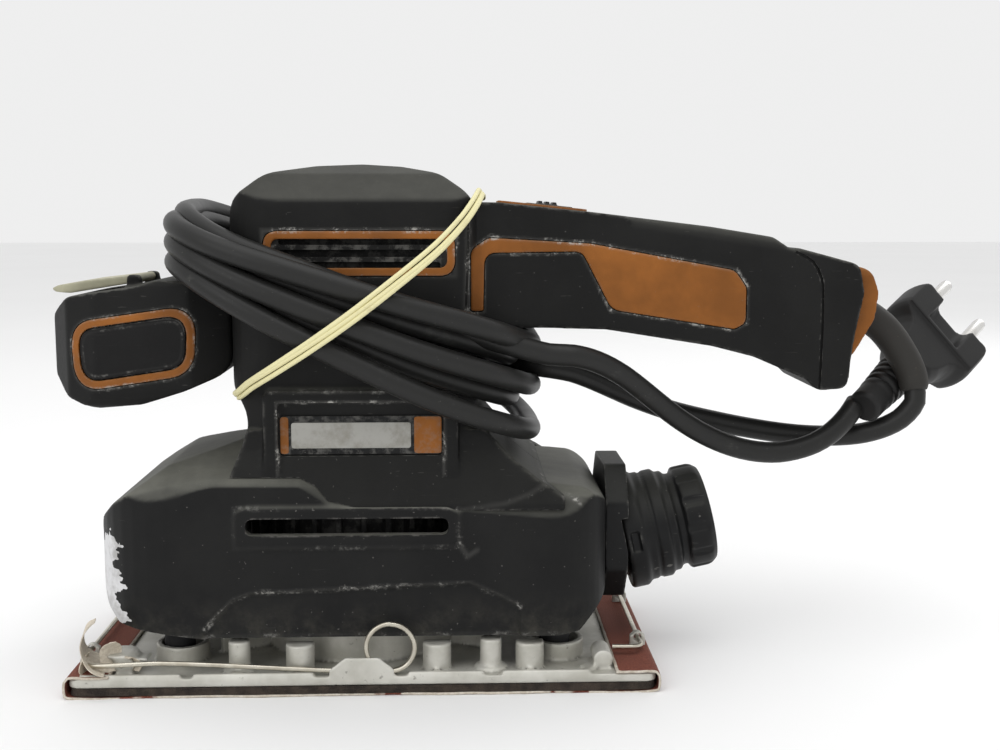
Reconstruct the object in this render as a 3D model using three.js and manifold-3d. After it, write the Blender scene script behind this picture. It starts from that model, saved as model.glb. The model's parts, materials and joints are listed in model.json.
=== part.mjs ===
// Third-sheet orbital sander with a rear handle, a front grip, a dust port and its mains cord.
// Millimetres. +X to the rear (handle end), -Y to the left side, +Z up.
// The origin is the centre of the abrasive face, on the work surface.
import * as THREE from 'three';
import { mergeVertices } from 'three/addons/utils/BufferGeometryUtils.js';
import Module from 'manifold-3d';

// ---------------------------------------------------------------- driving dimensions
const GAP = 0.3;                 // between pieces that meet
const RUN = 0.4;                 // between pieces that move past each other
const WALL = 2.6;                // moulded shells

const PLATE_LENGTH = 187;
const PLATE_WIDTH = 93;
const PLATE_THICK = 2.8;
const PLATE_CORNER = 4;
const FOAM_THICK = 2.6;
const SHEET_THICK = 0.8;
const SHEET_FLAP = 14;           // sheet folded over each end of the plate
const ORBIT = 1;                 // eccentric throw

const SKIRT_FRONT = -88;
const SKIRT_REAR = 79;
const SKIRT_HALF = 42;
const SKIRT_BOTTOM = 17.5;
const SKIRT_CORNER = 20;
const SLOT = { from: -37, to: 27, z: 54, high: 5.4 };

const MOTOR_X = -4;              // motor axis
const MOTOR_FRONT = -43;
const MOTOR_REAR = 36.3;
const MOTOR_HALF = 36.5;
const MOTOR_CORNER = 9;
const MOTOR_TOP = 168.2;
const NECK_Z = 78;               // where the motor housing starts above the foot

const HANDLE_HALF = 21.5;
const HANDLE_ROOT_HALF = 29;
const HANDLE_TILT = 0.148;

const GRIP_HALF = 28;
const GRIP_END = MOTOR_FRONT - RUN;

const STATOR_R = 27;
const ARMATURE_R = 17.2;
const AIR_GAP = 0.8;
const CORE_BOTTOM = 86;
const CORE_TOP = 126;
const SHAFT_R = 4;
const SHAFT_TOP = 159;
const COMMUTATOR_R = 10;
const BRUSH_Z = 139;
const FAN_R = 27;
const PIN_R = 6;                 // eccentric pin
const PLATEN_BEARING = { outer: 14, high: 8, z: 14 };
const TOP_BEARING = { outer: 11, high: 7, z: 150 };
const LOW_BEARING = { outer: 14, high: 8, z: 63 };

const LEG_R = 5;
const LEG_X = 62;
const LEG_Y = 26;

const PORT_TILT = 0.21;          // dust port axis above the horizontal
const PORT_BORE = 13;
const PORT = { x: 84, z: 40.7, bore: PORT_BORE, spigot: PORT_BORE + 2.5 };

const WIRE_R = 0.8;
const RING_R = 7.7;              // finger ring of each clamp lever

const CORD_R = 3.6;
const CORD_SIDES = 8;
const BOOT_R = 4.9;
const PIN_LENGTH = 19;
const PLUG_PIN_R = 2.4;
const PLUG_PIN_PITCH = 19;
const BAND_R = 1.1;

// ---------------------------------------------------------------- colours
const FINISHES = {
  charcoal: { color: 0x2b2b2a, roughness: 0.6, metalness: 0 },
  orange: { color: 0xac6c30, roughness: 0.55, metalness: 0 },
  plate_grey: { color: 0x9a9a96, roughness: 0.45, metalness: 0 },
  aluminium: { color: 0xa5a5a0, roughness: 0.5, metalness: 0.9 },
  steel: { color: 0xb4b0a4, roughness: 0.35, metalness: 1 },
  foam: { color: 0x2d2823, roughness: 0.95, metalness: 0 },
  abrasive: { color: 0x733729, roughness: 0.95, metalness: 0 },
  rubber: { color: 0x232426, roughness: 0.7, metalness: 0 },
  lever_grey: { color: 0x9c9a88, roughness: 0.6, metalness: 0 },
  band: { color: 0xd7d2aa, roughness: 0.7, metalness: 0 },
  copper: { color: 0xa8633a, roughness: 0.4, metalness: 1 },
  carbon: { color: 0x1c1c1e, roughness: 0.7, metalness: 0 },
  brass: { color: 0xb89a55, roughness: 0.35, metalness: 1 },
};

// ---------------------------------------------------------------- solids
const wasm = await Module();
wasm.setup();

const sander = new THREE.Group();

function solid(geometry) {
  const bare = geometry.index ? geometry.toNonIndexed() : geometry.clone();
  bare.deleteAttribute('normal');
  bare.deleteAttribute('uv');
  const merged = mergeVertices(bare, 1e-4);
  const mesh = new wasm.Mesh({
    numProp: 3,
    vertProperties: new Float32Array(merged.attributes.position.array),
    triVerts: new Uint32Array(merged.index.array),
  });
  return new wasm.Manifold(mesh);
}

function join(...solids) {
  return solids.reduce((whole, piece) => whole.add(piece));
}

function common(...solids) {
  return solids.reduce((whole, piece) => whole.intersect(piece));
}

function cut(body, ...tools) {
  return tools.reduce((rest, tool) => rest.subtract(tool), body);
}

function geometryOf(body) {
  const mesh = body.getMesh();
  const geometry = new THREE.BufferGeometry();
  geometry.setAttribute('position', new THREE.BufferAttribute(new Float32Array(mesh.vertProperties), 3));
  geometry.setIndex(new THREE.BufferAttribute(new Uint32Array(mesh.triVerts), 1));
  geometry.computeVertexNormals();
  return geometry;
}

function add(name, shape, finish, parent = sander) {
  const geometry = shape.isBufferGeometry ? shape : geometryOf(shape);
  const mesh = new THREE.Mesh(geometry, new THREE.MeshStandardMaterial(FINISHES[finish]));
  mesh.name = name;
  parent.add(mesh);
  return mesh;
}

// ---------------------------------------------------------------- outlines
function shapeOf(points) {
  return new THREE.Shape(points.map(([x, y]) => new THREE.Vector2(x, y)));
}

// Moves every edge of a counter-clockwise outline out by `grow`, or in when it is negative.
function grown(points, grow) {
  return points.map((point, i) => {
    const before = points[(i + points.length - 1) % points.length];
    const after = points[(i + 1) % points.length];
    const a = new THREE.Vector2(point[0] - before[0], point[1] - before[1]).normalize();
    const b = new THREE.Vector2(after[0] - point[0], after[1] - point[1]).normalize();
    const reach = grow / (1 + a.dot(b));
    return [point[0] + reach * (a.y + b.y), point[1] - reach * (a.x + b.x)];
  });
}

// Rounds each corner of an outline with an arc of `steps` chords.
function rounded(points, radius, steps = 4) {
  const round = [];
  points.forEach((point, i) => {
    const corner = new THREE.Vector2(...point);
    const before = new THREE.Vector2(...points[(i + points.length - 1) % points.length]);
    const after = new THREE.Vector2(...points[(i + 1) % points.length]);
    const a = before.clone().sub(corner).normalize();
    const b = after.clone().sub(corner).normalize();
    const half = Math.acos(THREE.MathUtils.clamp(a.dot(b), -1, 1)) / 2;
    const reach = radius / Math.tan(half);
    const start = corner.clone().addScaledVector(a, reach);
    const end = corner.clone().addScaledVector(b, reach);
    const curve = new THREE.QuadraticBezierCurve(start, corner, end);
    curve.getPoints(steps).forEach((p) => round.push([p.x, p.y]));
  });
  return round;
}

function box2d(x0, x1, y0, y1) {
  return [[x0, y0], [x1, y0], [x1, y1], [x0, y1]];
}

function mirrored(half) {
  const other = half.map(([y, z]) => [-y, z]).reverse();
  return [...half, ...other];
}

function circle2d(x, y, radius, steps) {
  return Array.from({ length: steps }, (_, i) => {
    const angle = (2 * Math.PI * i) / steps;
    return [x + radius * Math.cos(angle), y + radius * Math.sin(angle)];
  });
}

// ---------------------------------------------------------------- prisms, turned and swept shapes
function extruded(points, length, holes = []) {
  const shape = shapeOf(points);
  holes.forEach((hole) => shape.holes.push(shapeOf(hole)));
  return new THREE.ExtrudeGeometry(shape, { depth: length, bevelEnabled: false });
}

// An XY outline from z0 up to z1.
function alongZ(points, z0, z1, holes) {
  return solid(extruded(points, z1 - z0, holes).translate(0, 0, z0));
}

// An XZ outline from y0 to y1.
function alongY(points, y0, y1, holes) {
  return solid(extruded(points, y1 - y0, holes).rotateX(Math.PI / 2).translate(0, y1, 0));
}

const ENDWAYS = new THREE.Matrix4().makeBasis(
  new THREE.Vector3(0, 1, 0),
  new THREE.Vector3(0, 0, 1),
  new THREE.Vector3(1, 0, 0),
);

// A YZ outline from x0 to x1.
function alongX(points, x0, x1, holes) {
  return solid(extruded(points, x1 - x0, holes).applyMatrix4(ENDWAYS).translate(x0, 0, 0));
}

function block(x0, x1, y0, y1, z0, z1) {
  const box = new THREE.BoxGeometry(x1 - x0, y1 - y0, z1 - z0);
  return solid(box.translate((x0 + x1) / 2, (y0 + y1) / 2, (z0 + z1) / 2));
}

function rod(x, y, radius, z0, z1, sides = 24) {
  const cylinder = new THREE.CylinderGeometry(radius, radius, z1 - z0, sides).rotateX(Math.PI / 2);
  return solid(cylinder.translate(x, y, (z0 + z1) / 2));
}

function rodY(x, z, radius, y0, y1, sides = 16) {
  const cylinder = new THREE.CylinderGeometry(radius, radius, y1 - y0, sides);
  return solid(cylinder.translate(x, (y0 + y1) / 2, z));
}

// A closed [radius, height] profile turned about +Z through (x, y).
function turned(profile, x = 0, y = 0, sides = 32) {
  const points = [...profile, profile[0]].map(([r, z]) => new THREE.Vector2(r, z));
  return solid(new THREE.LatheGeometry(points, sides).rotateX(Math.PI / 2).translate(x, y, 0));
}

function ring(x, y, inner, outer, z0, z1, sides = 32) {
  return turned([[inner, z0], [outer, z0], [outer, z1], [inner, z1]], x, y, sides);
}

function swept(points, radius, sides, steps) {
  const path = new THREE.CatmullRomCurve3(points.map((p) => new THREE.Vector3(...p)), false, 'centripetal');
  const section = shapeOf(circle2d(0, 0, radius, sides));
  return new THREE.ExtrudeGeometry(section, { extrudePath: path, steps, bevelEnabled: false });
}

// ---------------------------------------------------------------- envelopes of the moulded body
const DECK_SIDE = [
  [SKIRT_FRONT, 0], [SKIRT_REAR, 0], [SKIRT_REAR, 60], [71, 64.6], [42, 67.7], [-40, 77.5],
  [-64, 72], [-80, 60], [-86, 54], [SKIRT_FRONT, 47],
];
const DECK_FRONT = mirrored([[SKIRT_HALF, 0], [SKIRT_HALF, 54], [38, 62], [22, 71], [8, 77.6]]);

function skirtBody(grow) {
  const plan = rounded(box2d(SKIRT_FRONT, SKIRT_REAR, -SKIRT_HALF, SKIRT_HALF), SKIRT_CORNER, 5);
  const side = alongY(grown(DECK_SIDE, grow), -PLATE_WIDTH, PLATE_WIDTH);
  const front = alongX(grown(DECK_FRONT, grow), -PLATE_LENGTH, PLATE_LENGTH);
  return common(side, front, alongZ(grown(plan, grow), SKIRT_BOTTOM - WALL, MOTOR_TOP));
}

const MOTOR_SIDE = [
  [MOTOR_FRONT + 6, NECK_Z - 8], [MOTOR_REAR, NECK_Z - 8], [MOTOR_REAR, MOTOR_TOP - 11.6],
  [24.4, MOTOR_TOP - 3.3], [12, MOTOR_TOP - 0.9], [-1, MOTOR_TOP], [-16, MOTOR_TOP - 0.7],
  [-31, MOTOR_TOP - 3.3], [-41, MOTOR_TOP - 12], [MOTOR_FRONT, MOTOR_TOP - 18],
  [MOTOR_FRONT, NECK_Z + 19], [MOTOR_FRONT + 6, NECK_Z + 12],
];
const MOTOR_ENDWAYS = mirrored([
  [MOTOR_HALF, NECK_Z - 8], [MOTOR_HALF, MOTOR_TOP - 12], [MOTOR_HALF - 11.5, MOTOR_TOP - 3.5],
  [8, MOTOR_TOP],
]);

function motorBody(grow) {
  const plan = rounded(box2d(MOTOR_FRONT, MOTOR_REAR, -MOTOR_HALF, MOTOR_HALF), MOTOR_CORNER);
  return common(
    alongY(grown(MOTOR_SIDE, grow), -MOTOR_HALF - WALL, MOTOR_HALF + WALL),
    alongX(grown(MOTOR_ENDWAYS, grow), MOTOR_FRONT - WALL, MOTOR_REAR + WALL),
    alongZ(grown(plan, grow), 0, MOTOR_TOP + WALL),
  );
}

const HANDLE_SIDE = [
  [MOTOR_REAR - 12, 116], [60, 115], [79, 114.2], [114, 108.6], [128, 105], [145.8, 97.3],
  [149.4, 93.7], [159.9, 94], [161, 105], [162.2, 113], [164.8, 126], [163, 135.3],
  [142, 140.9], [139.3, 140.6], [134, 144.4], [113.2, 147.8], [74.4, 152.5], [43.7, 155.6],
  [MOTOR_REAR - 12, 155.8],
];
const HANDLE_PLAN = [
  [20, -HANDLE_ROOT_HALF - 1], [38, -HANDLE_ROOT_HALF], [60, -HANDLE_HALF - 2.5],
  [80, -HANDLE_HALF], [150, -HANDLE_HALF], [168, 2 - HANDLE_HALF],
  [168, HANDLE_HALF - 2], [150, HANDLE_HALF], [80, HANDLE_HALF],
  [60, HANDLE_HALF + 2.5], [38, HANDLE_ROOT_HALF], [20, HANDLE_ROOT_HALF + 1],
];
const HANDLE_AXIS = { x: 92, z: 131, above: 21.6, below: 34, round: 9 };

// A long bar with rounded edges that leans down to the rear.
function handleBar(half, grow, length) {
  const top = HANDLE_AXIS.above + grow;
  const section = rounded(box2d(-half - grow, half + grow, -HANDLE_AXIS.below, top), HANDLE_AXIS.round, 3);
  const bar = extruded(section, length).applyMatrix4(ENDWAYS).translate(-75, 0, 0);
  return solid(bar.rotateY(HANDLE_TILT).translate(HANDLE_AXIS.x, 0, HANDLE_AXIS.z));
}

function handleBody(grow) {
  return common(
    alongY(grown(HANDLE_SIDE, grow), -HANDLE_ROOT_HALF - 5, HANDLE_ROOT_HALF + 5),
    alongZ(grown(HANDLE_PLAN, grow), 80, MOTOR_TOP),
    join(handleBar(HANDLE_HALF, grow, 150), handleBar(HANDLE_ROOT_HALF, grow, 66)),
  );
}

const FOOT_SIDE = [
  [-42, SLOT.z + 4.6], [64, SLOT.z + 4.6], [64, 63], [56, 68], [46, 76], [39, 84],
  [-37, 84], [-38, 80], [-42, 70],
];
const FOOT_HALF = SKIRT_HALF + GAP;
const FOOT_ENDWAYS = mirrored([[FOOT_HALF, 50], [FOOT_HALF, 60], [40, 68], [37, 78], [MOTOR_HALF, 84]]);

function footBody(grow) {
  return common(
    alongY(grown(FOOT_SIDE, grow), -PLATE_WIDTH, PLATE_WIDTH),
    alongX(grown(FOOT_ENDWAYS, grow), -PLATE_LENGTH, PLATE_LENGTH),
  );
}

const GRIP_SIDE = [
  [GRIP_END, 100.5], [GRIP_END, 130], [-67, 131], [-73, 128.6], [-97.6, 125.4],
  [-104, 119.6], [-106.3, 109.4], [-104.3, 99.5], [-99, 91.5], [-89, 87.4], [-72, 89.2], [-58.2, 93.7],
].reverse();
const GRIP_PLAN = [
  [GRIP_END + 1, -20], [GRIP_END + 1, 20], [-56, GRIP_HALF], [-92, GRIP_HALF], [-102, GRIP_HALF - 6],
  [-107, 8], [-107, -8], [-102, 6 - GRIP_HALF], [-92, -GRIP_HALF], [-56, -GRIP_HALF],
];

function gripBody(grow, reach = 0) {
  const section = rounded(box2d(-GRIP_HALF - grow, GRIP_HALF + grow, 86.4 - grow, 138 + grow), 11, 3);
  return common(
    alongY(grown(GRIP_SIDE, grow), -GRIP_HALF - WALL, GRIP_HALF + WALL),
    alongZ(grown(GRIP_PLAN, grow), 0, MOTOR_TOP),
    alongX(section, -2 * PLATE_WIDTH, GRIP_END + reach),
  );
}

// ---------------------------------------------------------------- trims let into a skin
const VENT = { x0: -30.4, x1: 29.4, z0: 132.7, z1: 146.7, band: 2.5 };
const RING_SIDE = [
  [-94, 103], [-88.5, 96.6], [-62, 98.5], [-54.3, 106], [-56, 116], [-62, 121.8], [-78, 121.3], [-92, 117],
];
const INLAY_SIDE = [
  [34.4, 121], [38.4, 121], [38.8, 139.6], [70.6, 139.8], [80.6, 120.8], [121.3, 114.3], [124.7, 116],
  [124.9, 128], [121, 133.6], [73.2, 142.4], [40, 144.4], [34.6, 141],
];
const BADGE = { x0: -26.3, x1: 25.2, z0: 76.2, z1: 88.8, frame: 5, proud: 2, top: 93 };
const INLAY_DEPTH = 1.2;
const PROUD = 0.25;

function prism(outline, side, grow = 0) {
  const reach = 2 * PLATE_WIDTH;
  const points = grown(outline, grow);
  return side < 0 ? alongY(points, -reach, 0) : alongY(points, 0, reach);
}

// The piece of a body's skin inside an outline, standing a little proud of it.
function inlay(body, outline, side) {
  return cut(common(body(PROUD), prism(outline, side)), body(-INLAY_DEPTH));
}

// What the body gives up to take that piece.
function inlayPocket(body, outline, side) {
  return cut(prism(outline, side, GAP), body(-INLAY_DEPTH - GAP));
}

function ventOutline(grow) {
  return rounded(grown(box2d(VENT.x0, VENT.x1, VENT.z0, VENT.z1), grow), 5 + grow);
}

function bandOf(body, outer, inner, side) {
  return cut(inlay(body, outer, side), prism(inner, side));
}

function bandPocket(body, outer, inner, side) {
  return cut(inlayPocket(body, outer, side), prism(inner, side, -GAP));
}

// ---------------------------------------------------------------- upper shells
const RIBS = [
  { z: 64.5, thick: 4, hole: LOW_BEARING.outer + GAP },
  { z: 93, thick: 3, hole: STATOR_R + GAP },
  { z: 117, thick: 3, hole: STATOR_R + GAP },
  { z: 151.5, thick: 4, hole: TOP_BEARING.outer + GAP },
];
const SCREWS = [[-36.4, 105], [29.6, 88], [92, 119], [137, 128]];
const SCREW = { head: 2.8, shank: 1.4, boss: 3.7 };
const SWITCH = { x: 58.5, z: 154.1, tilt: 0.101, length: 30, width: 27, deep: 1.3, proud: 0.8, travel: 5 };
const COLLAR_BORE = { x: 158, z: 123.5, tilt: 0.432 };

function shellCavity() {
  const rotorRoom = rod(MOTOR_X, 0, 31, SKIRT_BOTTOM, NECK_Z + 8, 24);
  return join(motorBody(-WALL), handleBody(-WALL), rotorRoom);
}

function switchFrame(shape) {
  return solid(shape.rotateY(SWITCH.tilt).translate(SWITCH.x, 0, SWITCH.z));
}

function switchPocket() {
  const pocket = new THREE.BoxGeometry(SWITCH.length + 2 * GAP, SWITCH.width + 2 * GAP, 12);
  const stem = new THREE.BoxGeometry(12, 8, 20);
  return join(switchFrame(pocket.translate(0, 0, 6 - SWITCH.deep - GAP)), switchFrame(stem));
}

function boreAlong(radius, from, to) {
  const bore = new THREE.CylinderGeometry(radius, radius, to - from, 20).rotateZ(-Math.PI / 2);
  return solid(bore.translate((from + to) / 2, 0, 0).rotateY(COLLAR_BORE.tilt)
    .translate(COLLAR_BORE.x, 0, COLLAR_BORE.z));
}

function louvres() {
  const slots = [135.9, 139.7, 143.5].map((z) => block(VENT.x0 + 5, VENT.x1 - 5, -60, 60, z - 1.1, z + 1.1));
  return join(...slots);
}

function badgeFrame(side) {
  const face = side * MOTOR_HALF;
  const outer = box2d(BADGE.x0 - BADGE.frame, BADGE.x1 + BADGE.frame, BADGE.z0 - 4, BADGE.top + 4);
  const low = Math.min(face - side, face + side * BADGE.proud);
  const high = Math.max(face - side, face + side * BADGE.proud);
  return alongY(outer, low, high, [box2d(BADGE.x0 - GAP, BADGE.x1 + GAP, BADGE.z0 - GAP, BADGE.top)]);
}

// Clears the foot away in front of the plate.
function badgePocket(side) {
  const ends = [side * MOTOR_HALF, side * (MOTOR_HALF + 9)];
  const window = box2d(BADGE.x0 - GAP, BADGE.x1 + GAP, BADGE.z0 - GAP, BADGE.top);
  return alongY(window, Math.min(...ends), Math.max(...ends));
}

function shellWhole() {
  const skin = join(motorBody(0), handleBody(0), footBody(0), badgeFrame(-1), badgeFrame(1));
  const room = shellCavity();
  const shelves = RIBS.map(({ z, thick, hole }) => {
    const shelf = common(room, block(MOTOR_FRONT, MOTOR_REAR - 1, -60, 60, z, z + thick));
    return cut(shelf, rod(MOTOR_X, 0, hole, z - 1, z + 6));
  });
  const bosses = SCREWS.map(([x, z]) => common(rodY(x, z, SCREW.boss, -60, 60, 12), room));
  const shell = join(cut(skin, room), ...shelves, ...bosses);
  const tools = [skirtBody(GAP), switchPocket(), boreAlong(BOOT_R + 0.5, -14, 20), louvres()];
  for (const side of [-1, 1]) {
    tools.push(badgePocket(side));
    tools.push(bandPocket(motorBody, ventOutline(0), ventOutline(-VENT.band), side));
    tools.push(inlayPocket(handleBody, INLAY_SIDE, side));
  }
  return cut(shell, ...tools);
}

function largest(body) {
  return body.decompose().sort((a, b) => b.volume() - a.volume())[0];
}

function addShells() {
  const whole = shellWhole();
  const left = common(whole, block(-200, 200, -60, -GAP / 2, 0, 200));
  const right = common(whole, block(-200, 200, GAP / 2, 60, 0, 200));
  const drills = SCREWS.map(([x, z]) => rodY(x, z, SCREW.shank + GAP, -12, 60, 10));
  const sinks = SCREWS.map(([x, z]) => rodY(x, z, SCREW.head + GAP, 12, 60, 12));
  add('motor_shell_left', largest(cut(left, ...drills)), 'charcoal');
  add('motor_shell_right', largest(cut(right, ...drills, ...sinks)), 'charcoal');
}

function addShellScrews() {
  SCREWS.forEach(([x, z], i) => {
    const screw = join(rodY(x, z, SCREW.shank, -10, 13, 10), rodY(x, z, SCREW.head, 12 + GAP, 15, 12));
    add(`shell_screw_${i + 1}`, screw, 'steel');
  });
}

function addBodyTrim() {
  for (const [side, name] of [[-1, 'left'], [1, 'right']]) {
    add(`vent_trim_${name}`, bandOf(motorBody, ventOutline(0), ventOutline(-VENT.band), side), 'orange');
    add(`handle_inlay_${name}`, inlay(handleBody, INLAY_SIDE, side), 'orange');
    const face = side * (MOTOR_HALF + GAP);
    const back = Math.min(face, face + side);
    add(`badge_${name}`, block(BADGE.x0, BADGE.x1, back, back + 1, BADGE.z0, BADGE.z1), 'plate_grey');
  }
}

function addEndCollar() {
  const side = [
    [158, 107], [161, 103.5], [163.2, 105.6], [169.7, 117.1], [170.8, 125.8], [168.4, 133.4], [158, 136],
  ];
  const blank = common(alongY(side, -16, 16), alongX(rounded(box2d(-16, 16, 100, 137), 8), 150, 175));
  add('handle_end_collar', largest(cut(blank, handleBody(GAP), boreAlong(BOOT_R + GAP, -14, 20))), 'orange');
}

// ---------------------------------------------------------------- switch
function addSwitch() {
  const seat = new THREE.Group();
  seat.position.set(SWITCH.x, 0, SWITCH.z);
  seat.rotation.y = SWITCH.tilt;
  sander.add(seat);
  const halfLength = SWITCH.length / 2;
  const halfWidth = SWITCH.width / 2;
  const slot = { x: halfLength - 4.2, y: halfWidth - 6 };
  const bezel = alongZ(
    rounded(box2d(-halfLength, halfLength, -halfWidth, halfWidth), 5, 3),
    -SWITCH.deep,
    SWITCH.proud,
    [box2d(-slot.x, slot.x, -slot.y, slot.y)],
  );
  add('switch_bezel', bezel, 'orange', seat);
  const from = slot.x - RUN - (2 * slot.x - SWITCH.travel - 2 * RUN);
  const plate = block(from, slot.x - RUN, RUN - slot.y, slot.y - RUN, -1.2, 1.1);
  const ridges = [4.2, 6.6, 9].map((x) => block(from + x, from + x + 1.4, 2 - slot.y, slot.y - 2, 1, 2.1));
  add('switch_slider', join(plate, ...ridges), 'charcoal', seat);
  add('switch_block', block(-13, 13, -8, 8, -24, -11), 'carbon', seat);
}

// ---------------------------------------------------------------- front grip
const LOCK = { x: -76, z: 130.6, half: 11.5, knuckle: 1.5 };

function addGrip() {
  const inner = grown(RING_SIDE, -2.5);
  const ears = [-1, 1].map((side) => {
    const near = side * (LOCK.half + RUN);
    const y = Math.min(near, near + 2.4 * side);
    return block(LOCK.x - 2.2, LOCK.x + 2.2, y, y + 2.4, LOCK.z - 4, LOCK.z + 1.6);
  });
  const shell = cut(gripBody(0), gripBody(-WALL, 1));
  const pockets = [-1, 1].map((side) => bandPocket(gripBody, RING_SIDE, inner, side));
  add('front_grip', largest(cut(join(shell, ...ears), ...pockets)), 'charcoal');
  add('grip_ring_left', bandOf(gripBody, RING_SIDE, inner, -1), 'orange');
  add('grip_ring_right', bandOf(gripBody, RING_SIDE, inner, 1), 'orange');
  const leaf = [
    [-102.8, 126.5], [-97.6, 126], [LOCK.x - 1, LOCK.z - 1.3], [LOCK.x, LOCK.z + 1.4], [-79, 131.7],
    [-101.6, 128.8], [-103.3, 127.8],
  ];
  const knuckle = rodY(LOCK.x, LOCK.z, LOCK.knuckle, -LOCK.half, LOCK.half, 14);
  add('grip_lock_lever', join(alongY(leaf, -LOCK.half, LOCK.half), knuckle), 'lever_grey');
}

// ---------------------------------------------------------------- skirt
function portFrame(shape) {
  return solid(shape.rotateY(-PORT_TILT).translate(PORT.x, 0, PORT.z));
}

function portBore(radius, from, to) {
  const bore = new THREE.CylinderGeometry(radius, radius, to - from, 28).rotateZ(-Math.PI / 2);
  return portFrame(bore.translate((from + to) / 2, 0, 0));
}

function slotOutline(grow) {
  const half = SLOT.high / 2;
  return rounded(grown(box2d(SLOT.from, SLOT.to, SLOT.z - half, SLOT.z + half), grow), half - 0.2 + grow, 3);
}

function legBoss(x, y) {
  return common(rod(x, y, LEG_R + 2, 44, 75, 12), skirtBody(-0.5));
}

const LEGS = [[LEG_X, LEG_Y], [-LEG_X, LEG_Y], [-LEG_X, -LEG_Y], [LEG_X, -LEG_Y]];

function addSkirt() {
  const outer = cut(skirtBody(0), block(-200, 200, -60, 60, 0, SKIRT_BOTTOM));
  const shell = cut(outer, skirtBody(-WALL));
  const tools = [
    rod(MOTOR_X, 0, 30, 60, 90, 24),
    alongY(slotOutline(0), -60, 60),
    portBore(PORT.spigot + 1.5, -16, 10),
  ];
  add('skirt', largest(cut(join(shell, ...LEGS.map(([x, y]) => legBoss(x, y))), ...tools)), 'charcoal');
  LEGS.forEach(([x, y], i) => {
    const leg = turned([[0, 7], [LEG_R, 7], [LEG_R, 14], [LEG_R - 1.2, 18], [LEG_R - 1.2, 38], [LEG_R, 42],
      [LEG_R, 44 - GAP], [0, 44 - GAP]], x, y, 12);
    add(`rubber_leg_${i + 1}`, leg, 'rubber');
  });
}

function addPort() {
  const hexagon = mirrored([[13, 21.5], [22, 33], [22, 56], [13, 67.7]]);
  const flange = alongX(hexagon, SKIRT_REAR + GAP, PORT.x + 3);
  const spigotRoom = portBore(PORT.spigot + RUN, -16, 20);
  const clear = portBore(24, 2.6, 30);
  add('dust_collar', cut(flange, spigotRoom, clear), 'charcoal');

  const seat = new THREE.Group();
  seat.position.set(PORT.x, 0, PORT.z);
  seat.rotation.y = Math.PI / 2 - PORT_TILT;
  sander.add(seat);
  const bore = PORT.bore;
  const profile = [
    [bore, -3], [PORT.spigot, -3], [PORT.spigot, 3], [bore + 7.5, 3], [bore + 7.5, 9.5], [bore + 6, 10.5],
    [bore + 6, 18], [bore + 4.4, 19], [bore + 4.4, 21.5], [bore + 3, 22], [bore + 3, 24], [bore + 5, 24.6],
    [bore + 5, 31], [bore + 3.4, 34], [bore, 34],
  ];
  add('dust_adapter', turned(profile, 0, 0, 22), 'charcoal', seat);
}

// ---------------------------------------------------------------- motor
function winding(z0, z1) {
  return ring(MOTOR_X, 0, ARMATURE_R + 2 * AIR_GAP, STATOR_R - 3, z0, z1, 20);
}

function addMotor() {
  const core = ring(MOTOR_X, 0, ARMATURE_R + AIR_GAP, STATOR_R, CORE_BOTTOM, CORE_TOP, 24);
  add('stator_core', core, 'steel');
  add('field_winding_lower', winding(CORE_BOTTOM - 6.3, CORE_BOTTOM - GAP), 'copper');
  add('field_winding_upper', winding(CORE_TOP + GAP, CORE_TOP + 4.3), 'copper');
  for (const [name, b] of [['top_bearing', TOP_BEARING], ['lower_bearing', LOW_BEARING]]) {
    add(name, ring(MOTOR_X, 0, SHAFT_R + GAP, b.outer, b.z, b.z + b.high, 16), 'steel');
  }
  const shaft = join(
    rod(MOTOR_X, 0, SHAFT_R, 30, SHAFT_TOP, 20),
    rod(MOTOR_X + ORBIT, 0, PIN_R, PLATEN_BEARING.z + 0.2, 30.5, 24),
  );
  add('rotor_shaft', shaft, 'steel');
  const bore = SHAFT_R + GAP;
  add('armature', ring(MOTOR_X, 0, bore, ARMATURE_R, CORE_BOTTOM, CORE_TOP, 24), 'steel');
  add('commutator', ring(MOTOR_X, 0, bore, COMMUTATOR_R, BRUSH_Z - 7, BRUSH_Z + 7, 16), 'copper');
  add('fan', largest(fanBody(bore)), 'charcoal');
  const weight = common(
    rod(MOTOR_X, 0, 18, 33, 41, 28),
    join(block(-60, MOTOR_X - 3, -30, 30, 30, 45), rod(MOTOR_X, 0, 9, 33, 41, 20)),
  );
  add('counterweight', cut(weight, rod(MOTOR_X, 0, bore, 30, 45, 20)), 'steel');
}

function fanBody(bore) {
  const blades = Array.from({ length: 9 }, (_, i) => {
    const blade = new THREE.BoxGeometry(FAN_R - 10, 1.6, 9).translate((FAN_R + 9) / 2, 0, 5.5);
    return solid(blade.rotateZ((i * 2 * Math.PI) / 9).translate(MOTOR_X, 0, 45));
  });
  const hub = rod(MOTOR_X, 0, 10, 45, 56, 16);
  const disc = rod(MOTOR_X, 0, FAN_R, 45, 47, 24);
  return cut(join(disc, hub, ...blades), rod(MOTOR_X, 0, bore, 40, 60, 20));
}

const BRUSH = { long: 12, half: 3, high: 4.5, travel: 1.5, seat: 9, wall: 1.3 };

// A block out from the motor's axis, as wide and high as a brush or `grow` more all round.
function brushBlock(side, from, to, grow) {
  const ends = [MOTOR_X + side * from, MOTOR_X + side * to];
  const half = BRUSH.half + grow;
  const high = BRUSH.high + grow;
  return block(Math.min(...ends), Math.max(...ends), -half, half, BRUSH_Z - high, BRUSH_Z + high);
}

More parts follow.
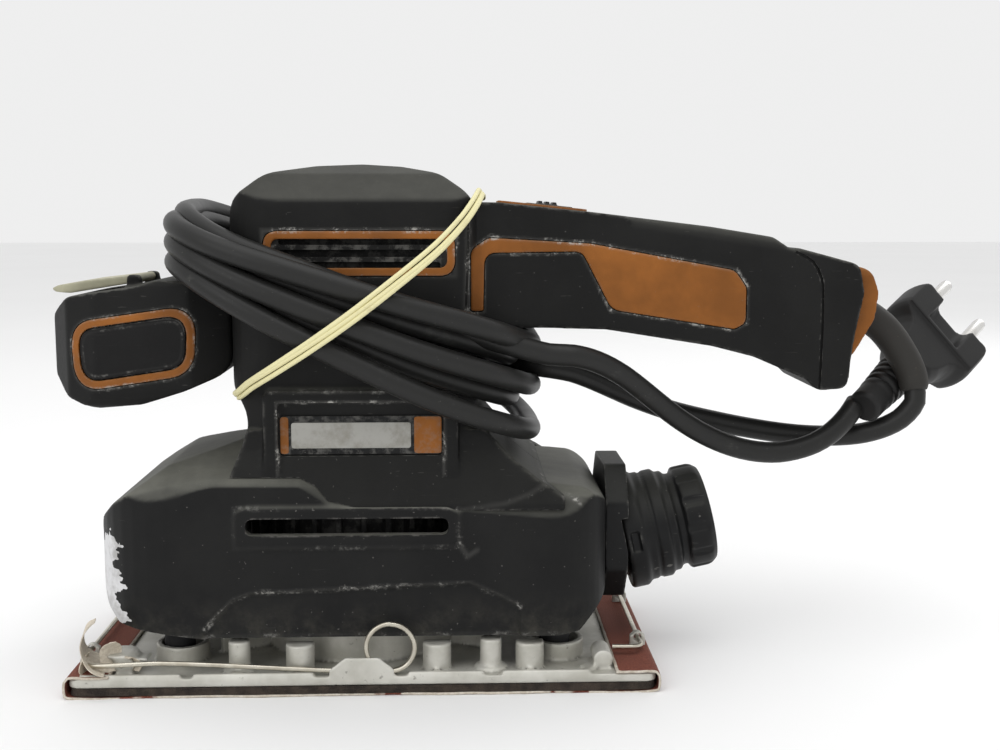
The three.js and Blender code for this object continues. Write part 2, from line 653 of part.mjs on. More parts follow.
function addBrushes() {
  for (const [side, name] of [[-1, 'front'], [1, 'rear']]) {
    const start = COMMUTATOR_R + GAP;
    const end = start + BRUSH.long;
    add(`carbon_brush_${name}`, brushBlock(side, start, end, 0), 'carbon');
    const holderEnd = end + BRUSH.travel + BRUSH.seat;
    const outer = brushBlock(side, start + 3, holderEnd, RUN + BRUSH.wall);
    const room = brushBlock(side, start + 2, holderEnd - BRUSH.wall, RUN);
    add(`brush_holder_${name}`, cut(outer, room), 'brass');
    const long = BRUSH.seat - BRUSH.wall - 2 * GAP;
    const middle = end + BRUSH.travel + GAP + long / 2;
    const spring = new THREE.CylinderGeometry(2.4, 2.4, long, 12).rotateZ(Math.PI / 2);
    add(`brush_spring_${name}`, solid(spring.translate(MOTOR_X + side * middle, 0, BRUSH_Z)), 'steel');
  }
}

// ---------------------------------------------------------------- platen
const FLANGE_BOTTOM = SHEET_THICK + FOAM_THICK;
const FLANGE_TOP = FLANGE_BOTTOM + PLATE_THICK;
const HUB = { x: MOTOR_X + ORBIT, outer: PLATEN_BEARING.outer + 4.5, top: 24, wall: 34 };
const LEVER_X = PLATE_LENGTH / 2 - 3;    // line of each clamp rod
const LEVER_Z = FLANGE_TOP + 3.8;
const LEVER_SIDE = PLATE_WIDTH / 2 - 2.1;
const ROD_HALF = PLATE_WIDTH / 2 - 8.5;
const LUG_Y = [17 - ROD_HALF, ROD_HALF - 11];
const LUG = { half: 1.25, long: 2.6, top: 12.3 };
const POST_X = 40.4;
const SIDE_Y = PLATE_WIDTH / 2 - 7.9;
const BARREL_X = PLATE_LENGTH / 2 - 16.9;
const HOOK = { x0: -11, x1: 9.5, high: 6.3, thick: 0.9 };

function plateOutline(grow = 0) {
  const x = PLATE_LENGTH / 2 + grow;
  const y = PLATE_WIDTH / 2 + grow;
  return rounded(box2d(-x, x, -y, y), PLATE_CORNER, 3);
}

// A boss with a flat back towards the plate's middle and a round front.
function halfRound(x, y, height) {
  return cut(rod(x, y, 4.6, FLANGE_TOP - 1, FLANGE_TOP + height, 12),
    block(x - 7, x + 7, Math.min(0, y - Math.sign(y) * 2), Math.max(0, y - Math.sign(y) * 2), 0, 60));
}

function castingRibs() {
  const cup = { inner: LEG_R + ORBIT + 0.6, outer: LEG_R + ORBIT + 2.6 };
  const legs = LEGS.map(([x, y]) =>
    ring(x + ORBIT, y, cup.inner, cup.outer, FLANGE_TOP - 1, FLANGE_TOP + 6, 14));
  const spokes = [25, 155, 205, 335].map((degrees) => {
    const spoke = new THREE.BoxGeometry(22, 2.5, 8);
    return solid(spoke.translate(HUB.wall + 9.5, 0, FLANGE_TOP + 3)
      .rotateZ(THREE.MathUtils.degToRad(degrees)).translate(HUB.x, 0, 0));
  });
  const webs = [0, 60, 120].map((degrees) => {
    const web = new THREE.BoxGeometry(2 * HUB.wall - 2, 2.5, 7);
    return solid(web.rotateZ(THREE.MathUtils.degToRad(degrees)).translate(HUB.x, 0, FLANGE_TOP + 2.5));
  });
  return [...legs, ...spokes, ...webs];
}

function castingEdge() {
  const pieces = [];
  for (const side of [-1, 1]) {
    for (const x of [-POST_X, POST_X]) {
      pieces.push(rod(x, side * SIDE_Y, 3.5, FLANGE_TOP - 1, FLANGE_TOP + 10, 12));
    }
    for (const x of [-21, 23, 53]) {
      pieces.push(halfRound(x, side * SIDE_Y, 9));
    }
    for (const x of [-BARREL_X, BARREL_X]) {
      const middle = side * (SIDE_Y - 2.1);
      pieces.push(rodY(x, FLANGE_TOP + 3, 3.2, middle - 5.5, middle + 5.5, 10));
    }
    const faces = [side * PLATE_WIDTH / 2, side * (PLATE_WIDTH / 2 - HOOK.thick)];
    const shoulder = FLANGE_TOP + 2.3;
    const top = FLANGE_TOP + HOOK.high;
    const hook = [
      [HOOK.x0, FLANGE_BOTTOM], [HOOK.x1, FLANGE_BOTTOM], [HOOK.x1, shoulder], [HOOK.x1 - 5, top],
      [HOOK.x0 + 5, top], [HOOK.x0, shoulder],
    ];
    pieces.push(alongY(hook, Math.min(...faces), Math.max(...faces)));
  }
  return pieces;
}

// The two ears that hold a clamp rod, for the clamp at the rear; the front one is turned half round.
function rodLugs() {
  const lugs = LUG_Y.map((y) => cut(
    block(LEVER_X - LUG.long, LEVER_X + LUG.long, y - LUG.half, y + LUG.half, FLANGE_TOP - 1, LUG.top),
    rodY(LEVER_X, LEVER_Z, WIRE_R + RUN, y - 5, y + 5, 12),
  ));
  return join(...lugs);
}

function addPlaten() {
  const hub = join(
    rod(HUB.x, 0, HUB.outer, FLANGE_TOP - 1, HUB.top, 24),
    ring(HUB.x, 0, HUB.wall - 2.5, HUB.wall, FLANGE_TOP - 1, 17, 28),
  );
  const seat = rod(HUB.x, 0, PLATEN_BEARING.outer + GAP, PLATEN_BEARING.z - GAP, 40, 20);
  const lugs = rodLugs();
  const body = join(
    alongZ(plateOutline(), FLANGE_BOTTOM, FLANGE_TOP),
    hub, ...castingRibs(), ...castingEdge(), lugs, lugs.rotate([0, 0, 180]),
  );
  add('platen_casting', largest(cut(body, seat)), 'aluminium');
  const b = PLATEN_BEARING;
  add('platen_bearing', ring(HUB.x, 0, PIN_R + GAP, b.outer, b.z, b.z + b.high, 20), 'steel');
  add('foam_pad', extruded(plateOutline(), FOAM_THICK).translate(0, 0, SHEET_THICK), 'foam');
  addSheet();
}

function addSheet() {
  const inside = PLATE_LENGTH / 2 + GAP;
  const outside = inside + SHEET_THICK;
  const low = FLANGE_TOP + GAP;
  const high = low + SHEET_THICK;
  const flap = outside - SHEET_FLAP;
  const profile = [
    [-outside + 1.5, 0], [outside - 1.5, 0], [outside, 1.5], [outside, high - 0.8], [outside - 0.8, high],
    [flap, high], [flap, low], [inside, low], [inside, SHEET_THICK], [-inside, SHEET_THICK], [-inside, low],
    [-flap, low], [-flap, high], [-outside + 0.8, high], [-outside, high - 0.8], [-outside, 1.5],
  ];
  const half = PLATE_WIDTH / 2;
  const holes = [];
  for (const turn of [1, -1]) {
    for (const y of LUG_Y) {
      const x = turn * LEVER_X;
      const long = LUG.long + 0.4;
      const wide = LUG.half + 0.6;
      holes.push(block(x - long, x + long, turn * y - wide, turn * y + wide, 4, 12));
    }
  }
  add('sanding_sheet', cut(alongY(profile, -half, half), ...holes), 'abrasive');
}

// ---------------------------------------------------------------- clamp levers
// Rod across the end of the sheet, then a lever along the plate's side to a finger ring.
const LEVER_ROUTE = [
  [LEVER_X - 9.7, 6.5 - ROD_HALF, LEVER_Z], [LEVER_X - 2.5, 6.5 - ROD_HALF, LEVER_Z],
  [LEVER_X, 8.6 - ROD_HALF, LEVER_Z], [LEVER_X, 13 - ROD_HALF, LEVER_Z], [LEVER_X, 21 - ROD_HALF, LEVER_Z],
  [LEVER_X, ROD_HALF - 14, LEVER_Z], [LEVER_X, ROD_HALF, LEVER_Z], [LEVER_X - 1.6, ROD_HALF + 4, LEVER_Z],
  [LEVER_X - 5.5, LEVER_SIDE, LEVER_Z + 0.2], [66, LEVER_SIDE, LEVER_Z + 0.8], [40, LEVER_SIDE, LEVER_Z - 0.4],
  [14, LEVER_SIDE, LEVER_Z - 2], [0, LEVER_SIDE, LEVER_Z - 2.4], [-8.3, LEVER_SIDE, LEVER_Z - 2.4],
];
const FINGER_RING = { x: -8.3, z: LEVER_Z - 2.4 + RING_R };

function addLevers() {
  const wire = solid(swept(LEVER_ROUTE, WIRE_R, 6, 36));
  const loop = new THREE.TorusGeometry(RING_R, WIRE_R, 6, 18).rotateX(Math.PI / 2);
  const lever = join(wire, solid(loop.translate(FINGER_RING.x, LEVER_SIDE, FINGER_RING.z)));
  add('rear_clamp_lever', lever, 'steel');
  add('front_clamp_lever', lever, 'steel').rotation.z = Math.PI;
}

// ---------------------------------------------------------------- cord, boot and plug
const BOOT_ROUTE = [
  [160, 0, 122.58], [166, 0, 119.81], [171, 0, 117.5], [177.5, -1, 112.6], [183, -3, 105],
  [186.4, -5.8, 97.4], [187.2, -7.6, 91.6],
];
// From the boot to the wound coil under the handle.
const CORD_IN = [
  [187.27, -7.8, 90.9], [187.1, -8.4, 88], [182.6, -7.4, 81.8], [174, -4, 77], [164, -1, 75],
  [150, 2, 74.8], [135, 4, 76.6], [120, 4, 79.6], [105, 3, 83.4], [91, 1, 88.6], [79, -3.6, 94.4],
  [69, -7, 98.6], [59.6, -8, 100.4],
];
// From the coil's near side to the plug.
const CORD_OUT = [
  [59.2, -33, 107.5], [67, -32.6, 107], [75, -29.5, 104.6], [84, -25, 99.6], [93, -20.5, 92.6],
  [103, -16.5, 84.6], [114, -13.5, 77.6], [127, -11.5, 72.4], [140, -10.8, 71], [152, -10.5, 74],
  [159, -9.6, 78.3], [164.4, -7.6, 83.2],
];
const COIL = { halfIn: 39.2, halfOut: 52, front: -67, rear: 58, frontIn: -53, rearIn: 45 };
const COIL_BAND = [
  [-67, 132], [-51, 131], [-44, 123], [-24, 110.5], [58, 80.5],
  [58, 109], [41, 111.5], [30, 119], [-67, 151.5],
];
const PLUG_AT = [207, 30, 111];
const PLUG_AXIS = new THREE.Vector3(0.667, 0.63, 0.396).normalize();
const PLUG_ACROSS = new THREE.Vector3(0.628, -0.189, -0.756);

function addCord() {
  add('strain_relief', swept(BOOT_ROUTE, BOOT_R, 10, 18), 'rubber');
  add('cord_to_coil', swept(CORD_IN, CORD_R, CORD_SIDES, 24), 'rubber');
  add('cord_to_plug', swept(CORD_OUT, CORD_R, CORD_SIDES, 24), 'rubber');
  const plan = alongZ(
    rounded(box2d(COIL.front, COIL.rear, -COIL.halfOut, COIL.halfOut), 30, 6), 60, 160,
    [rounded(box2d(COIL.frontIn, COIL.rearIn, -COIL.halfIn, COIL.halfIn), 16, 5)],
  );
  add('cord_coil', common(plan, alongY(COIL_BAND, -60, 60)), 'rubber');
}

function addPlug() {
  const seat = new THREE.Group();
  const across = PLUG_ACROSS.clone().addScaledVector(PLUG_AXIS, -PLUG_ACROSS.dot(PLUG_AXIS)).normalize();
  const third = new THREE.Vector3().crossVectors(PLUG_AXIS, across);
  const basis = new THREE.Matrix4().makeBasis(across, third, PLUG_AXIS);
  seat.quaternion.setFromRotationMatrix(basis);
  seat.position.set(...PLUG_AT);
  sander.add(seat);
  const profile = [
    [0, -62], [5.4, -62], [6.6, -36], [10.5, -30], [12.5, -20], [18, -16], [18.5, -1.5], [17.5, 0], [0, 0],
  ];
  const body = turned(profile, 0, 0, 24);
  const notches = [-1, 1].map((side) => block(-5, 5, side < 0 ? -30 : 14.5, side < 0 ? -14.5 : 30, -25, 5));
  add('plug_body', cut(body, ...notches), 'rubber', seat);
  const r = PLUG_PIN_R;
  const pinProfile = [[0, GAP], [r, GAP], [r, PIN_LENGTH - 1.5], [r / 2, PIN_LENGTH], [0, PIN_LENGTH]];
  [-1, 1].forEach((side, i) => {
    const pin = turned(pinProfile, side * PLUG_PIN_PITCH / 2, 0, 14);
    add(`plug_pin_${i + 1}`, pin, 'steel', seat);
  });
}

// ---------------------------------------------------------------- small pieces
const BAND_SIDE = [
  [37.2, -10, 158.4], [37, -25, 158.8], [36.4, -37.5, 155], [30.5, -41.5, 145], [19, -50.5, 135.6],
  [10, -54.2, 128.4], [-14, -54.4, 113.6], [-23, -52.8, 106.6], [-36, -42.5, 98.6], [-44.6, -38.4, 94.2],
  [-45.8, -24, 93.4], [-45.8, -8, 93],
];

function addSmallPieces() {
  const far = BAND_SIDE.map(([x, y, z]) => [x, -y, z]).reverse();
  const loop = [[37.2, 0.6, 158.4], ...BAND_SIDE, ...far, [37.2, 2.4, 158.4]];
  add('elastic_band', swept(loop, BAND_R, 5, 56), 'band');
  add('cord_clamp', block(140, 148, -10, 10, 121, 125), 'charcoal');
}

addShells();
addShellScrews();
addBodyTrim();
addEndCollar();
addSwitch();
addGrip();
addSkirt();
addPort();
addMotor();
addBrushes();
addPlaten();
addLevers();
addCord();
addPlug();
addSmallPieces();

export default sander;
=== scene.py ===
# %% [markdown]
# # A well-used orbital sander
# The tool stands on its sanding sheet, with the rear handle to the right and the wound mains cord
# round its motor housing. A packed mechanical model gives the frame: one node for each part and one
# body for each group that moves together. This lesson dresses that frame. Each visible part gets a
# finished mesh in the same place, and it rides on the body that it belongs to.
# Lengths are written in millimetres and turned into metres by MM where a mesh is made.

import json
import math

import bmesh
import bpy
import numpy as np
from mathutils import Matrix, Vector

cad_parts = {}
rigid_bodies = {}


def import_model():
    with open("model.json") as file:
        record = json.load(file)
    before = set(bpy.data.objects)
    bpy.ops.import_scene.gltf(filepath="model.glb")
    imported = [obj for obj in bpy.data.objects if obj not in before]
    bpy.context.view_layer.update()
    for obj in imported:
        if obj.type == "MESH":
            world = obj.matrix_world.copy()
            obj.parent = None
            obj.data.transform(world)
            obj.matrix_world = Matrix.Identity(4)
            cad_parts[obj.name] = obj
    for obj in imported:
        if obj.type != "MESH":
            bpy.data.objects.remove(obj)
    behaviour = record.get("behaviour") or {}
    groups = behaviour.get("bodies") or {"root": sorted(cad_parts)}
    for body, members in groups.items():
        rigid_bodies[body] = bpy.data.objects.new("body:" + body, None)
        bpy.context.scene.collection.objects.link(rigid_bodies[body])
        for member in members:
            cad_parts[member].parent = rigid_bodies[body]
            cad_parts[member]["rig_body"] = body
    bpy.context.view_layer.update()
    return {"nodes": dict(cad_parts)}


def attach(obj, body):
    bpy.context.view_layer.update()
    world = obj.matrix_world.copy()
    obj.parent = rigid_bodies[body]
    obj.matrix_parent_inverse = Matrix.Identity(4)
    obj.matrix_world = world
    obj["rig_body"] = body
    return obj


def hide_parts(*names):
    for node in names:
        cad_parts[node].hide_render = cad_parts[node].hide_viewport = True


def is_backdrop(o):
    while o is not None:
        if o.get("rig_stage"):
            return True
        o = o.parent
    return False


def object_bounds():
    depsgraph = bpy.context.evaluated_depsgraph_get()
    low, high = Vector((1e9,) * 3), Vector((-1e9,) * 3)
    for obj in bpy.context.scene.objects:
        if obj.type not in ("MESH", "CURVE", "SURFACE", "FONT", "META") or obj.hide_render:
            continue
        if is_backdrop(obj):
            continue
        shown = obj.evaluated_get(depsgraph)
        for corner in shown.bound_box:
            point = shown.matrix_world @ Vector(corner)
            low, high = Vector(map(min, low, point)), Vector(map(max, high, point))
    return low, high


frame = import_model()
MM = 0.001

# %% [markdown]
# ## Camera
# A camera a little above the tool and almost square to its left side, as for a catalogue picture.
# It is made first, because the cord's free lengths are judged by what the camera sees.

# %% Camera
CAMERA_AT = (0.0295, -0.4363, 0.1526)
CAMERA_PITCH = 82.7        # degrees from straight down
CAMERA_TURN = -2
LENS = 45.86

camera = bpy.data.objects.new("camera", bpy.data.cameras.new("camera"))
bpy.context.scene.collection.objects.link(camera)
camera.location = CAMERA_AT
camera.rotation_euler = (math.radians(CAMERA_PITCH), 0, math.radians(CAMERA_TURN))
camera.data.sensor_width = 36
camera.data.lens = LENS
camera.data.clip_start = 0.01
bpy.context.scene.camera = camera
print("camera at", tuple(round(v, 4) for v in camera.location))

# %% [markdown]
# ## Paths and tubes
# Wires, cords and boots are all tubes along a route. A route is a short list of points, and a
# Catmull-Rom curve through them gives as many places as the mesh needs. Each tube is a mesh of rings,
# so that its radius can change along the way. A curve with a round bevel would do for the cord, but
# its box then counts the points' radius of one metre, and the printed size is taken from that box.


# %% Smooth routes
SMALLEST = 1e-6


def smooth_route(points, spacing):
    """Points about `spacing` apart on a centripetal Catmull-Rom curve through the given points."""
    knots = np.array(points, float)
    before, after = 2 * knots[0] - knots[1], 2 * knots[-1] - knots[-2]
    knots = np.concatenate([[before], knots, [after]])
    route = []
    for a, b, c, d in zip(knots, knots[1:], knots[2:], knots[3:]):
        gaps = [np.linalg.norm(q - p) for p, q in ((a, b), (b, c), (c, d))]
        times = np.cumsum([0] + [max(gap, SMALLEST) ** 0.5 for gap in gaps])
        count = max(1, round(np.linalg.norm(c - b) / spacing))
        for t in np.linspace(times[1], times[2], count, endpoint=False):
            level = [a, b, c, d]
            for width in (1, 2, 3):
                level = [
                    ((times[i + width] - t) * p + (t - times[i]) * q) / (times[i + width] - times[i])
                    for i, (p, q) in enumerate(zip(level, level[1:]))
                ]
            route.append(level[0])
    route.append(knots[-2])
    return np.array(route)


def route_length(route):
    return float(np.linalg.norm(np.diff(route, axis=0), axis=1).sum())


# %% Tubes
def place(name, data):
    """An object with this mesh or curve, in the scene."""
    piece = bpy.data.objects.new(name, data)
    bpy.context.scene.collection.objects.link(piece)
    return piece


def from_bmesh(name, bm, smooth=True):
    """Turns a bmesh in millimetres into a piece in metres."""
    bmesh.ops.recalc_face_normals(bm, faces=bm.faces)
    bmesh.ops.scale(bm, vec=(MM, MM, MM), verts=bm.verts)
    mesh = bpy.data.meshes.new(name)
    bm.to_mesh(mesh)
    bm.free()
    mesh.polygons.foreach_set("use_smooth", [smooth] * len(mesh.polygons))
    return place(name, mesh)


def headings(route):
    """The unit direction of a line at each of its points."""
    ahead = np.gradient(route, axis=0)
    return ahead / np.linalg.norm(ahead, axis=1)[:, None]


def carried_frames(route):
    """A side and an up for each point, carried along the route without twisting."""
    ahead = headings(route)
    side = np.cross(ahead[0], (0.31, 0.17, 0.93))      # any direction that no route starts in
    sides = []
    for direction in ahead:
        side = side - direction * np.dot(side, direction)
        side = side / np.linalg.norm(side)
        sides.append(side)
    sides = np.array(sides)
    return sides, np.cross(ahead, sides)


def bridge(bm, rings, closed=False):
    """Faces from each ring of points to the next. A ring may be a single point."""
    pairs = list(zip(rings, rings[1:])) + ([(rings[-1], rings[0])] if closed else [])
    for low, high in pairs:
        count = max(len(low), len(high))
        for i in range(count):
            j = (i + 1) % count
            corners = [low[i % len(low)], low[j % len(low)], high[j % len(high)], high[i % len(high)]]
            distinct = list(dict.fromkeys(corners))
            if len(distinct) > 2:
                bm.faces.new(distinct)


def circle(count):
    """The angles of `count` places round a circle."""
    return np.linspace(0, 2 * math.pi, count, endpoint=False)


def add_tube(bm, route, radii, segments, closed=False):
    """Adds a tube with flat ends to a bmesh. `radii` is one radius or one for each point."""
    radii = np.broadcast_to(radii, len(route))
    rings = []
    for point, side, up, radius in zip(route, *carried_frames(route), radii):
        spots = [point + radius * (math.cos(a) * side + math.sin(a) * up) for a in circle(segments)]
        rings.append([bm.verts.new(spot) for spot in spots])
    bridge(bm, rings, closed)
    if not closed:
        bm.faces.new(rings[0])
        bm.faces.new(rings[-1])


def tube(name, route, radii, segments):
    bm = bmesh.new()
    add_tube(bm, route, radii, segments)
    return from_bmesh(name, bm)


# %% [markdown]
# ## The mains cord
# The real cord is one length of 7.2 mm rubber lead. It leaves the boot, runs forward under the
# handle, winds six times round the motor housing and comes back under the handle to the plug. The
# loose stretches repeat the frame's own route points. The turns come from a loop: each is a rounded
# rectangle in plan, and its height falls from the left end to the right end, so the turns lie fanned
# out. Alternate turns lie in an inner and an outer layer, as wound cord does.

# %% Cord facts
CORD_D = 7.2
CORD_IN = [
    (186.7, -6.4, 95), (187.27, -7.8, 90.9), (187.1, -8.4, 88), (182.6, -7.4, 81.8), (174, -4, 77),
    (164, -1, 75), (150, 2, 74.8), (135, 4, 76.6), (120, 4, 79.6), (105, 3, 83.4), (91, 1, 88.6),
    (79, -3.6, 94.4), (69, -7, 98.6), (59.6, -8, 100.4),
]
CORD_OUT = [
    (59.2, -33, 107.5), (67, -32.6, 107), (75, -29.5, 104.6), (84, -25, 99.6), (93, -20.5, 92.6),
    (103, -16.5, 84.6), (114, -13.5, 77.6), (127, -11.5, 72.4), (140, -10.8, 71), (152, -10.5, 74),
    (159, -9.6, 78.3), (164.4, -7.6, 83.2), (168, -4.5, 87),
]
TURNS = 6
LAYER = 7.1                # how far the outer layer stands off the inner one
LAYER_CHANGE = (0.36, 0.64)              # the share of a turn in which its layer changes
LEFT_TIP = -56.4           # the inner layer's two ends
RIGHT_TIP = 47.6
SIDE_LINE = 43.2
LEFT_HEIGHTS = (134.5, 150.6)            # of the first turn and the last
RIGHT_HEIGHTS = (100.4, 83.6, 91.2, 98.6, 105.9, 112.6, 108.2)
SQUARENESS = 3.1           # of the turn's plan, 2 for an ellipse
SAG = 1.1                  # how far a turn wanders up and down
POINTS_A_TURN = 32
FAR_SIDE_LIFT = 3.2        # leaves room for the rear clamp lever when it swings up
SKIP = (4, 5)              # loop points left out where the lead joins it and where it leaves


# %% The wound turns
def eased(value, low, high):
    """0 below low, 1 above high and smooth between them."""
    share = min(max((value - low) / (high - low), 0), 1)
    return 0.5 - 0.5 * math.cos(math.pi * share)


def stand_off(turns):
    """How far a turn lies off the inner layer. The layer changes at the left end."""
    whole = int(turns)
    swap = eased(turns - whole, *LAYER_CHANGE)
    return LAYER * (swap if whole % 2 == 0 else 1 - swap)


def wound_point(turns):
    """A point on a rounded rectangle round the housing, which leans down towards the right end."""
    angle = 2 * math.pi * turns
    middle = (LEFT_TIP + RIGHT_TIP) / 2
    reach = (RIGHT_TIP - LEFT_TIP) / 2 + stand_off(turns)
    c, s = math.cos(angle), math.sin(angle)
    x = middle + reach * math.copysign(abs(c) ** (2 / SQUARENESS), c)
    y = (SIDE_LINE + stand_off(turns)) * math.copysign(abs(s) ** (2 / SQUARENESS), s)
    right = np.interp(round(turns), range(TURNS + 1), RIGHT_HEIGHTS)
    left_share = (math.floor(turns) if turns < TURNS else TURNS - 1) / (TURNS - 1)
    left = LEFT_HEIGHTS[0] + left_share * (LEFT_HEIGHTS[1] - LEFT_HEIGHTS[0])
    lean = (x - LEFT_TIP) / (RIGHT_TIP - LEFT_TIP)
    lift = FAR_SIDE_LIFT * max(s, 0) - SAG * math.sin(3 * angle + 1.7 * left_share)
    return x, y, left + lean * (right - left) + lift


# From the right end along the far side to the left end, back along the near side, and so on.
wound = [wound_point(i / POINTS_A_TURN) for i in range(TURNS * POINTS_A_TURN + 1)]
JOINING = [(50.6, -2.5, 101.2), (44.6, 9, 102.2), (41.6, 22, 103.6)]
CORD_SPACING = 2.5
cord_route = smooth_route(CORD_IN + JOINING + wound[SKIP[0]:-SKIP[1]] + CORD_OUT, CORD_SPACING)
print("cord:", round(route_length(cord_route)), "mm in", TURNS, "turns and two loose ends")


# %% The cord as a tube
mains_cord = tube("mains_cord", cord_route, CORD_D / 2, segments=20)
print("cord mesh:", len(mains_cord.data.polygons), "faces")

# %% [markdown]
# ## Cutting and rounding solids
# Moulded housings are easiest to think of as blocks that are joined and cut: a side outline crossed
# with an end outline gives the facets, and pockets are cut from the result. The mesh of such a block
# has long thin faces and knife edges. So each housing is then rebuilt as an even grid of small faces,
# which are relaxed a little. That rounds every edge as a mould does. Fine slots and seams are cut
# after that, so that they stay crisp.

# %% Outlines
def rounded(points, radius, steps):
    """Rounds the corners of a closed outline. A point may give its own radius as a third number."""
    result = []
    count = len(points)
    for i, point in enumerate(points):
        corner = np.array(point[:2], float)
        reach = point[2] if len(point) > 2 else radius
        before = np.array(points[i - 1][:2], float) - corner
        after = np.array(points[(i + 1) % count][:2], float) - corner
        shortest = 0.45 * min(np.linalg.norm(before), np.linalg.norm(after))
        cosine = np.dot(before, after) / (np.linalg.norm(before) * np.linalg.norm(after))
        half = math.acos(max(-1, min(1, cosine))) / 2
        cut = min(reach / max(math.tan(half), 1e-6), shortest)
        if cut < 0.05:
            result.append(tuple(corner))
            continue
        start = corner + before / np.linalg.norm(before) * cut
        end = corner + after / np.linalg.norm(after) * cut
        for t in np.linspace(0, 1, steps + 1):
            result.append(tuple((1 - t) ** 2 * start + 2 * t * (1 - t) * corner + t ** 2 * end))
    return result


def grown(points, amount):
    """Moves a closed outline outwards, whichever way round it runs."""
    pts = np.array([p[:2] for p in points], float)
    nxt = np.roll(pts, -1, axis=0)
    area = np.sum(pts[:, 0] * nxt[:, 1] - nxt[:, 0] * pts[:, 1])
    turn = math.copysign(1, area)
    edges = nxt - pts
    edges /= np.linalg.norm(edges, axis=1)[:, None]
    before = np.roll(edges, 1, axis=0)
    share = amount / np.maximum(1 + np.sum(before * edges, axis=1), 0.2)
    away = turn * np.stack([before[:, 1] + edges[:, 1], -before[:, 0] - edges[:, 0]], axis=1)
    return [tuple(p) for p in pts + share[:, None] * away]


def box2d(x0, x1, y0, y1):
    return [(x0, y0), (x1, y0), (x1, y1), (x0, y1)]


def mirrored(half):
    """A whole end outline from its right half, listed upwards."""
    return list(half) + [(-y, z, *rest) for y, z, *rest in reversed(half)]


def groove_outline(route, width):
    """A closed strip of this width along an open line."""
    line = np.array(route, float)
    ahead = headings(line)
    side = np.stack([-ahead[:, 1], ahead[:, 0]], axis=1) * width / 2
    return [tuple(p) for p in line + side] + [tuple(p) for p in (line - side)[::-1]]


def smooth_line(points, spacing):
    """A smooth open line through points of a flat drawing."""
    return smooth_route([(x, y, 0) for x, y in points], spacing)[:, :2]


# %% Blocks
DRAWN_ON = {"x": (1, 2, 0), "y": (0, 2, 1), "z": (0, 1, 2)}


def through(name, rings, flat_sides=True, smooth=False):
    """A closed solid through rings of spots, which all have the same number of spots."""
    bm = bmesh.new()
    rings = [[bm.verts.new(spot) for spot in ring] for ring in rings]
    bm.faces.new(rings[0])
    bm.faces.new(rings[-1])
    bridge(bm, rings)
    bmesh.ops.triangulate(bm, faces=[f for f in bm.faces if len(f.verts) > 4 or not flat_sides])
    return from_bmesh(name, bm, smooth)


def block(outline, axis, low, high):
    """A solid with the outline's shape, from low to high along an axis."""
    first, second, along = DRAWN_ON[axis]
    rings = []
    for level in (low, high):
        spots = np.zeros((len(outline), 3))
        spots[:, first] = [p[0] for p in outline]
        spots[:, second] = [p[1] for p in outline]
        spots[:, along] = level
        rings.append(spots)
    return through("block", rings)


def loft(stations):
    """A solid through end outlines, each given with its X."""
    rings = [[(x, y, z) for y, z in outline] for x, outline in stations]
    return through("loft", rings, flat_sides=False)


def turned(profile, segments, closed=False):
    """A solid of revolution about Z from a list of (radius, height). A closed profile makes a ring."""
    bm = bmesh.new()
    rings = []
    for radius, height in profile:
        angles = circle(segments) if radius else [0]
        rings.append([bm.verts.new((radius * math.cos(a), radius * math.sin(a), height)) for a in angles])
    bridge(bm, rings, closed)
    return from_bmesh("turned", bm)


def moved(piece, matrix):
    """Moves a mesh by a matrix whose lengths are in millimetres."""
    shifted = matrix.copy()
    shifted.translation *= MM
    piece.data.transform(shifted)
    piece.data.update()
    return piece


def shifted(piece, x, y, z):
    return moved(piece, Matrix.Translation((x, y, z)))


def set_at(x, y, z, angle, axis):
    """The matrix that turns a piece about an axis through the origin and then puts it in its place."""
    return Matrix.Translation((x, y, z)) @ Matrix.Rotation(angle, 4, axis)


def upright(radius, low, high, segments):
    return turned([(0, low), (radius, low), (radius, high), (0, high)], segments)


def cylinder(x, y, radius, low, high, segments=32):
    return shifted(upright(radius, low, high, segments), x, y, 0)


def crosswise(x, z, radius, low, high, segments=24):
    """A cylinder along Y."""
    return moved(upright(radius, -high, -low, segments), set_at(x, 0, z, math.pi / 2, "X"))


def bar(angle, x0, x1, half, low, high, centre):
    """A flat bar that points away from a centre at an angle in degrees."""
    spot = set_at(*centre, 0, math.radians(angle), "Z")
    return moved(block(box2d(x0, x1, -half, half), "z", low, high), spot)


SIDES = ((-1, "left"), (1, "right"))


def span(side, near, far):
    """From near to far off the middle plane, on one side of it, lowest first."""
    return sorted((side * near, side * far))


# %% Joining, cutting and finishing a solid
def settle(piece):
    """Applies the piece's modifiers."""
    bpy.context.view_layer.update()
    ready = piece.evaluated_get(bpy.context.evaluated_depsgraph_get())
    mesh = bpy.data.meshes.new_from_object(ready)
    piece.modifiers.clear()
    old = piece.data
    piece.data = mesh
    bpy.data.meshes.remove(old)
    return piece


def combine(base, operation, *tools):
    """Joins, cuts or crosses solids; the tools are used up."""
    for tool in tools:
        step = base.modifiers.new("combine", "BOOLEAN")
        step.operation = operation
        step.object = tool
        step.solver = "MANIFOLD"
    settle(base)
    for tool in tools:
        bpy.data.objects.remove(tool)
    return base


def join(base, *tools):
    return combine(base, "UNION", *tools)


def cut(base, *tools):
    return combine(base, "DIFFERENCE", *tools)


def cross(base, *tools):
    return combine(base, "INTERSECT", *tools)


def soften(piece, grid, rounds):
    """Rebuilds a solid as an even grid of faces and relaxes it, which rounds its edges."""
    even = piece.modifiers.new("even", "REMESH")
    even.mode = "VOXEL"
    even.voxel_size = grid * MM
    relax = piece.modifiers.new("relax", "SMOOTH")
    relax.factor = 0.5
    relax.iterations = rounds
    return settle(piece)


